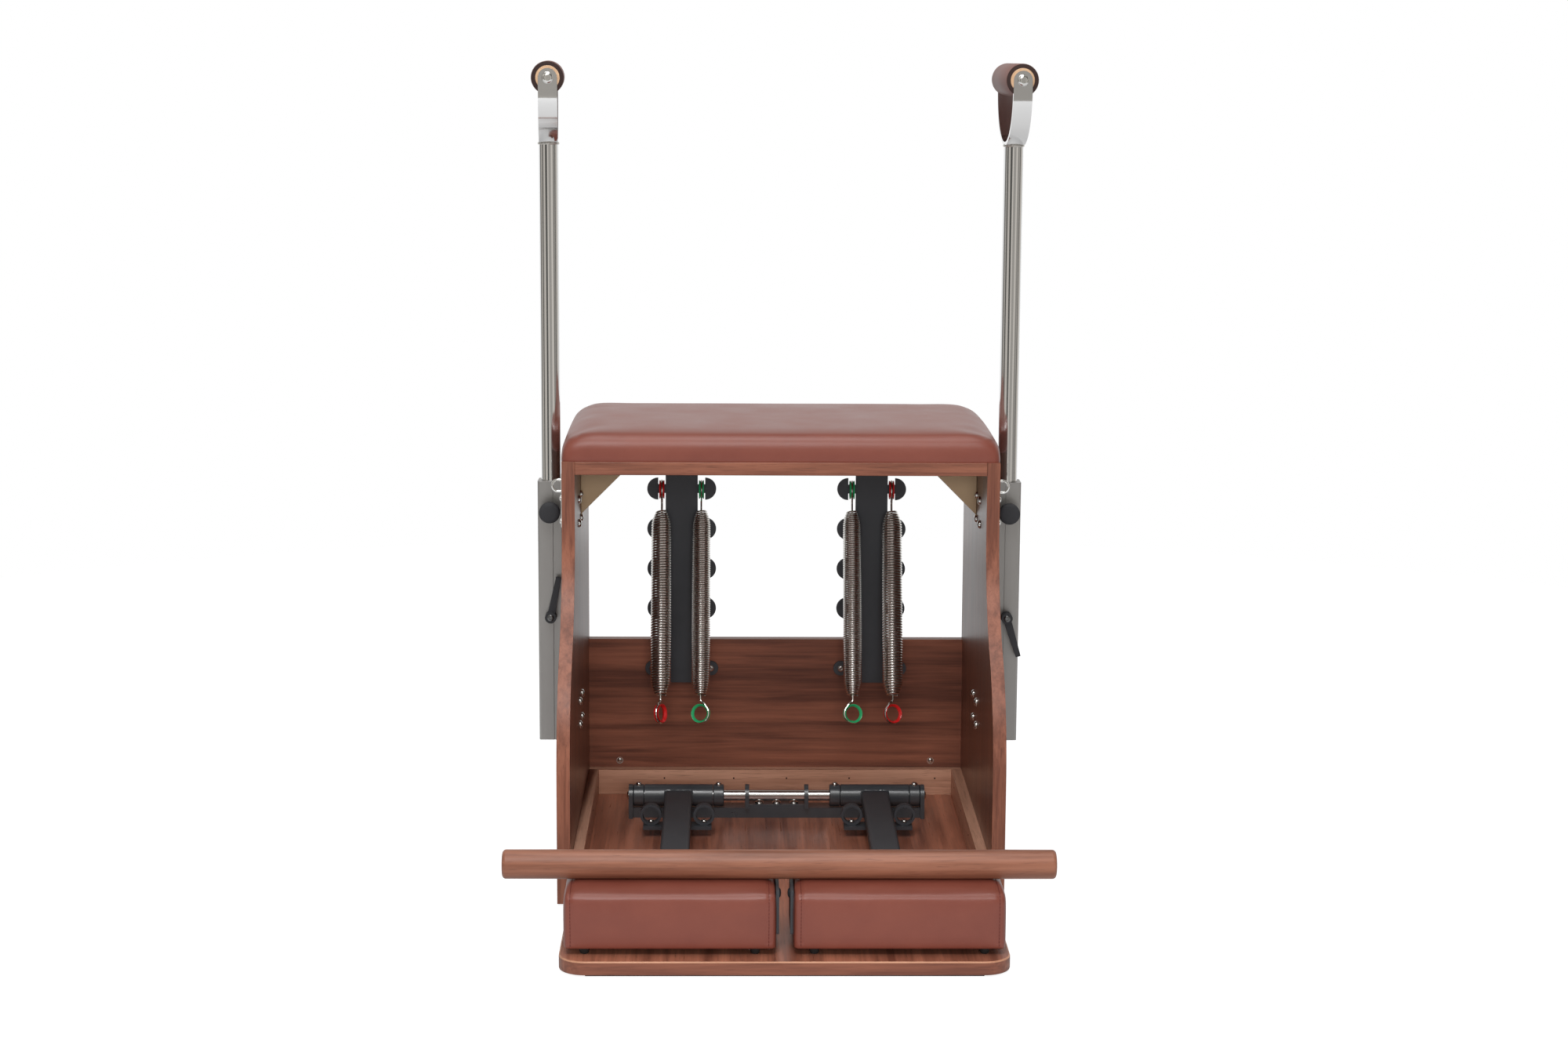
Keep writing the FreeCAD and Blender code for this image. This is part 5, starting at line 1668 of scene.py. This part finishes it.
@dataclass
class Handle(SubAssembly):
    """One side's sleeve, post, yoke, grip, plunger knob and clamp lever."""

    name: str
    side: float
    ease: float = 0.7 * MM
    middle: Span = POST_PLACE
    grip_level: float = 1096.0 * MM
    yaw: float = math.radians(3.0)
    grip_length: float = 140.0 * MM
    grip_radius: float = 22.5 * MM
    grip_edge: float = 2.0 * MM
    edge_share: float = 0.3
    end_share: float = 0.5
    cover_sides: int = 64
    core_sides: int = 56
    core_radius: float = 16.5 * MM
    core_step: float = 0.6 * MM
    core_bore: float = 4.2 * MM
    yoke_outside: float = 75.5 * MM
    grip_bolt: SocketBolt = SocketBolt(head=8.0 * MM, dome=4.5 * MM)
    post_top: float = 1006.0 * MM
    post_radius: float = 13.5 * MM
    weld_radius: float = 1.6 * MM
    weld_sides: tuple[int, int] = (64, 8)
    weld_ripple: float = 0.45 * MM
    weld_seed: int = 5
    plunger_level: float = PLUNGER_LEVEL
    lever_level: float = 344.0 * MM
    lever_face: float = 130.7 * MM
    lever_ease: float = 1.2 * MM
    lever_segments: int = 3
    lever_screw: SocketBolt = SocketBolt(head=4.8 * MM, dome=1.6 * MM, socket_share=0.55, depth_share=0.8)
    knob_radius: float = 14.75 * MM
    knob_face: float = 138.7 * MM
    knob_length: float = 20.0 * MM
    knob_sides: int = 48
    knob_shares: Profile = ((0.55, 0.0), (0.6, 0.28), (0.92, 0.36), (1.0, 0.46), (1.0, 0.8), (0.96, 0.9),
                            (0.86, 0.96), (0.6, 0.99), (0.2, 1.0))

    @property
    def place(self) -> Vector:
        """The middle of the grip."""
        return Vector((self.side * self.middle[0], self.middle[1], self.grip_level))

    @property
    def along(self) -> Vector:
        """The grip's axis, pointing back."""
        return Vector((-math.sin(self.yaw), math.cos(self.yaw), 0.0))

    def build(self) -> None:
        """Model and dress everything on one side."""
        self.ease_node(f"{self.name}_sleeve", "chair", "aluminium", [ALUMINIUM], self.ease, "drawn")
        self.post()
        self.grip()
        self.plunger()
        self.lever()

    def post(self) -> None:
        """Ease the post and yoke and add the weld between them."""
        body = f"{self.name}_handle"
        self.ease_node(f"{self.name}_handle_frame", body, "polished_steel", [POLISHED], self.ease, "polished")
        deselect_all()
        around, across = self.weld_sides
        bpy.ops.mesh.primitive_torus_add(major_radius=self.post_radius, minor_radius=self.weld_radius,
                                         major_segments=around, minor_segments=across,
                                         location=(self.place.x, self.place.y, self.post_top))
        bead = bpy.context.active_object
        bead.name = f"{self.name}_yoke_weld"
        with edit_mode(bead, "VERT"):
            bpy.ops.mesh.select_all(action="SELECT")
            bpy.ops.transform.vertex_random(offset=self.weld_ripple, seed=self.weld_seed)
        apply_transforms(bead)
        self.settle(smooth(bead, math.pi), body, "polished_steel", [WELD])
        outwards = self.along * self.yoke_outside
        heads = self.grip_bolt.set_at(f"{self.name}_grip_bolt_heads", [
            (self.place - outwards, -self.along), (self.place + outwards, self.along)])
        self.settle(heads, body, "bright_fastener", [BRIGHT], f"{self.name}_grip_bolt")

    def grip(self) -> None:
        """Turn the leather sleeve and the wooden core it is wrapped round."""
        body = f"{self.name}_grip"
        half = self.grip_length / 2
        edge = self.grip_edge
        soft = edge * self.edge_share
        outer = self.grip_radius
        inner = self.core_radius
        cover = turned(f"{self.name}_grip_cover", [
            (outer - edge, -half), (outer - soft, soft - half), (outer, edge - half), (outer, half - edge),
            (outer - soft, half - soft), (outer - edge, half), (inner, half), (inner, -half)],
            hollow=True, sides=self.cover_sides)
        put(cover, self.place, self.along)
        self.settle(cover, body, "grip_cover", [GRIP_LEATHER, GRIP_END], f"{self.name}_grip_sleeve")
        lay_finishes(cover, lambda face: 1 if abs(face.normal.dot(self.along)) > self.end_share else 0)
        length = half + self.core_step
        core = turned(f"{self.name}_grip_core_turned", [
            (inner - soft, -length), (inner, soft - length), (inner, length - soft), (inner - soft, length),
            (self.core_bore, length), (self.core_bore, -length)], hollow=True, sides=self.core_sides)
        put(core, self.place, self.along)
        self.settle(core, body, "plain_wood", [CORE_WOOD], f"{self.name}_grip_core")

    def plunger(self) -> None:
        """Turn the pull knob."""
        profile = scaled(self.knob_shares, self.knob_radius, self.knob_length)
        knob = turned(f"{self.name}_knob_turned", profile, sides=self.knob_sides)
        put(knob, Vector((self.place.x, self.knob_face, self.plunger_level)), FORWARD)
        self.settle(knob, f"{self.name}_plunger", "black_plastic", [BLACK_PLASTIC], f"{self.name}_knob")

    def lever(self) -> None:
        """Ease the clamp lever and set the socket screw in its hub."""
        body = f"{self.name}_clamp"
        self.ease_node(f"{self.name}_lever", body, "black_plastic", [BLACK_PLASTIC], self.lever_ease,
                       segments=self.lever_segments)
        face = Vector((self.place.x, self.lever_face, self.lever_level))
        screw = self.lever_screw.set_at(f"{self.name}_lever_screw", [(face, FORWARD)])
        self.settle(screw, body, "bright_fastener", [DARK_STEEL])


@dataclass
class SideFittings(SubAssembly):
    """Mounting plates, bolts, plunger collars and strap eyes on the two side panels."""

    ease: float = 0.6 * MM
    strap_ease: float = 0.3 * MM
    panel_face: float = 282.0 * MM
    bolt: SocketBolt = SocketBolt(head=6.0 * MM, dome=4.0 * MM)
    bolt_y: Span = (139.0 * MM, 191.0 * MM)
    bolt_rise: float = 17.0 * MM
    levels: Span = (205.0 * MM, PLUNGER_LEVEL)
    sleeve_x: float = POST_PLACE[0]
    sleeve_face: float = 147.0 * MM
    housing_radius: float = 9.0 * MM
    housing_length: float = 8.0 * MM
    housing_sides: int = 36
    housing_shares: Profile = ((1.0, 0.0), (1.0, 0.55), (0.92, 0.62), (0.8, 0.66), (0.8, 0.95), (0.76, 1.0))
    pin_way: float = 4.05 * MM

    def build(self) -> None:
        """Model and dress the fittings."""
        self.ease_node("sleeve_mounts", "chair", "black_steel", [BLACK_STEEL], self.ease)
        places = []
        for side in SIDES:
            inwards = Vector((-side, 0.0, 0.0))
            places += [(Vector((side * self.panel_face, y, level + rise * self.bolt_rise)), inwards)
                       for level in self.levels for y in self.bolt_y for rise in SIDES]
        heads = self.bolt.set_at("sleeve_bolt_heads", places)
        self.settle(heads, "chair", "bright_fastener", [BRIGHT], "sleeve_bolts")
        self.ease_node("strap_eyes", "chair", "polished_steel", [BRIGHT], self.strap_ease, "polished")
        self.housings()

    def housings(self) -> None:
        """Turn the collars that the plungers slide in."""
        outside = scaled(self.housing_shares, self.housing_radius, self.housing_length)
        bore = [(self.pin_way, self.housing_length), (self.pin_way, 0.0)]
        collar = turned("plunger_collar", outside + bore, hollow=True, sides=self.housing_sides)
        seats = [(Vector((side * self.sleeve_x, self.sleeve_face, PLUNGER_LEVEL)), FORWARD) for side in SIDES]
        collars = copies("plunger_collars", collar, seats)
        self.settle(collars, "chair", "polished_steel", [BRIGHT], "plunger_housings")


# Studio

@dataclass(frozen=True)
class Lamp:
    """A square soft lamp that shines on the chair's middle."""

    name: str
    place: Triple
    size: float
    power: float
    mirrored: bool = True
    target: Triple = (0.0, 0.0, 0.45)

    def hang(self) -> None:
        """Put the lamp into the scene, shown in mirrors or not."""
        lamp = bpy.data.lights.new(self.name, "AREA")
        lamp.shape = "SQUARE"
        lamp.size = self.size
        lamp.energy = self.power
        holder = bpy.data.objects.new(self.name, lamp)
        bpy.context.scene.collection.objects.link(holder)
        holder.location = self.place
        way = Vector(self.target) - Vector(self.place)
        holder.rotation_euler = way.to_track_quat("-Z", "Y").to_euler()
        holder.visible_glossy = self.mirrored


LAMPS = (
    Lamp("front_lamp", place=(0.1, -4.4, 1.1), size=1.3, power=72.0, mirrored=False),
    Lamp("key_lamp", place=(-0.3, -2.4, 3.0), size=1.5, power=48.0),
    Lamp("top_lamp", place=(0.0, -0.1, 3.0), size=1.2, power=20.0),
)


@dataclass
class Studio:
    """Pale floor, white surroundings, soft lamps and the camera."""

    floor_radius: float = 2.8
    floor_sides: int = 128
    floor_colour: Colour = (0.55, 0.55, 0.55, 1.0)
    floor_glow: float = 0.86
    mirrored_share: float = 0.42
    surround: float = 0.28
    room_pale: Colour = (0.62, 0.58, 0.53, 1.0)
    room_deep: Colour = (0.07, 0.07, 0.065, 1.0)
    room_window: Colour = (0.95, 0.90, 0.83, 1.0)
    streak_stretch: Triple = (-1.0, 1.0, 0.06)
    streak_scale: float = 1.9
    streak_range: Span = (0.43, 0.57)
    window_share: float = 0.36
    window_turn: float = math.radians(20.0)
    window_range: Span = (0.68, 0.94)
    behind_range: Span = (0.38, 0.68)
    low_range: Span = (0.3, 0.55)
    lens: float = 64.8
    sensor_width: float = 36.0
    camera_place: Triple = (-0.0702, -3.7734, 1.1282)
    pitch: float = 0.1642
    yaw: float = 0.0195
    roll: float = 0.006

    def build(self) -> None:
        """Lay the floor, light it and set up the camera."""
        scene = bpy.context.scene
        scene.view_settings.view_transform = "Standard"
        self.floor()
        self.world(scene)
        for lamp in LAMPS:
            lamp.hang()
        self.camera(scene)

    def floor(self) -> None:
        """Lay a pale floor that keeps the chair's shadow."""
        deselect_all()
        bpy.ops.mesh.primitive_circle_add(vertices=self.floor_sides, radius=self.floor_radius,
                                          fill_type="NGON")
        floor = bpy.context.active_object
        floor.name = "studio_floor"
        material = bpy.data.materials.new("studio_floor")
        material.use_nodes = True
        material.node_tree.nodes.clear()
        nodes = NodeBuilder(material.node_tree)
        path = nodes.add("ShaderNodeLightPath").outputs
        matte = nodes.add("ShaderNodeBsdfDiffuse", {"Color": self.floor_colour})
        mirrored = nodes.maths("MAXIMUM", path["Is Glossy Ray"], path["Is Transmission Ray"])
        faint = nodes.maths("MULTIPLY", mirrored, self.mirrored_share)
        seen = nodes.maths("MAXIMUM", path["Is Camera Ray"], faint)
        glow = nodes.add("ShaderNodeEmission", {
            "Color": WHITE, "Strength": nodes.maths("MULTIPLY", seen, self.floor_glow)})
        both = nodes.add("ShaderNodeAddShader", {0: matte.outputs[0], 1: glow.outputs[0]})
        nodes.add("ShaderNodeOutputMaterial", {"Surface": both.outputs[0]})
        floor.data.materials.append(material)

    def room(self, nodes: NodeBuilder) -> Socket:
        """Colour what polished metal mirrors: white low behind, a window ahead, else the walls of a room.

        Args:
            nodes: The world's builder.

        Returns:
            The colour.
        """
        way = nodes.add("ShaderNodeTexCoord").outputs["Generated"]
        sides = nodes.add("ShaderNodeSeparateXYZ", {0: way}).outputs
        streaks = nodes.noise(nodes.stretch(way, self.streak_stretch), self.streak_scale,
                              detail=2.0, roughness=0.6)
        toward = nodes.maths("SUBTRACT", nodes.maths("MULTIPLY", sides["X"], math.sin(self.window_turn)),
                             nodes.maths("MULTIPLY", sides["Y"], math.cos(self.window_turn)))
        ahead = nodes.remap(toward, self.window_range, (0.0, self.window_share))
        plain = nodes.mix(nodes.remap(streaks, self.streak_range), self.room_deep, self.room_pale)
        walls = nodes.mix(ahead, plain, self.room_window)
        behind = nodes.remap(sides["Y"], self.behind_range)
        low = nodes.remap(sides["Z"], self.low_range, (1.0, 0.0))
        return nodes.mix(nodes.maths("MULTIPLY", behind, low), walls, WHITE)

    def world(self, scene: bpy.types.Scene) -> None:
        """Surround the chair with white for the eye, a room for mirrors and a plain soft light.

        Args:
            scene: The scene that gets the world.
        """
        world = bpy.data.worlds.new("studio")
        world.use_nodes = True
        world.node_tree.nodes.clear()
        scene.world = world
        nodes = NodeBuilder(world.node_tree)
        path = nodes.add("ShaderNodeLightPath").outputs
        mirrored = nodes.add("ShaderNodeBackground", {"Color": self.room(nodes), "Strength": 1.0})
        shown = nodes.add("ShaderNodeBackground", {"Color": WHITE, "Strength": 1.0})
        light = nodes.add("ShaderNodeBackground", {"Color": WHITE, "Strength": self.surround})
        plain = nodes.maths("MAXIMUM", path["Is Camera Ray"], path["Is Transmission Ray"])
        base = nodes.add("ShaderNodeMixShader", {
            0: path["Is Glossy Ray"], 1: light.outputs[0], 2: mirrored.outputs[0]})
        whole = nodes.add("ShaderNodeMixShader", {0: plain, 1: base.outputs[0], 2: shown.outputs[0]})
        nodes.add("ShaderNodeOutputWorld", {"Surface": whole.outputs[0]})

    def camera(self, scene: bpy.types.Scene) -> None:
        """Stand the camera where the photograph was taken.

        Args:
            scene: The scene that gets the camera.
        """
        lens = bpy.data.cameras.new("camera")
        lens.lens = self.lens
        lens.sensor_width = self.sensor_width
        camera = bpy.data.objects.new("camera", lens)
        scene.collection.objects.link(camera)
        ahead = Vector((math.sin(self.yaw) * math.cos(self.pitch), math.cos(self.yaw) * math.cos(self.pitch),
                        -math.sin(self.pitch)))
        right = Vector((math.cos(self.yaw), -math.sin(self.yaw), 0.0))
        above = right.cross(ahead)
        across = math.cos(self.roll) * right + math.sin(self.roll) * above
        upright = math.cos(self.roll) * above - math.sin(self.roll) * right
        turn = Matrix((across, upright, -ahead)).transposed()
        camera.matrix_world = Matrix.Translation(self.camera_place) @ turn.to_4x4()
        scene.camera = camera


def main() -> None:
    """Build the chair's sub-assemblies and the studio."""
    logging.basicConfig(level=logging.INFO, format="%(message)s")
    Studio().build()
    Carcass().build()
    Upholstery("seat_cushion", "chair", widen_share=1.008).build()
    SpringTree().build()
    Axle().build()
    for name, side in zip(("left", "right"), SIDES):
        Pedal(name, side).build()
        Handle(name, side).build()
    Dowel().build()
    SideFittings().build()


if __name__ == "__main__":
    main()
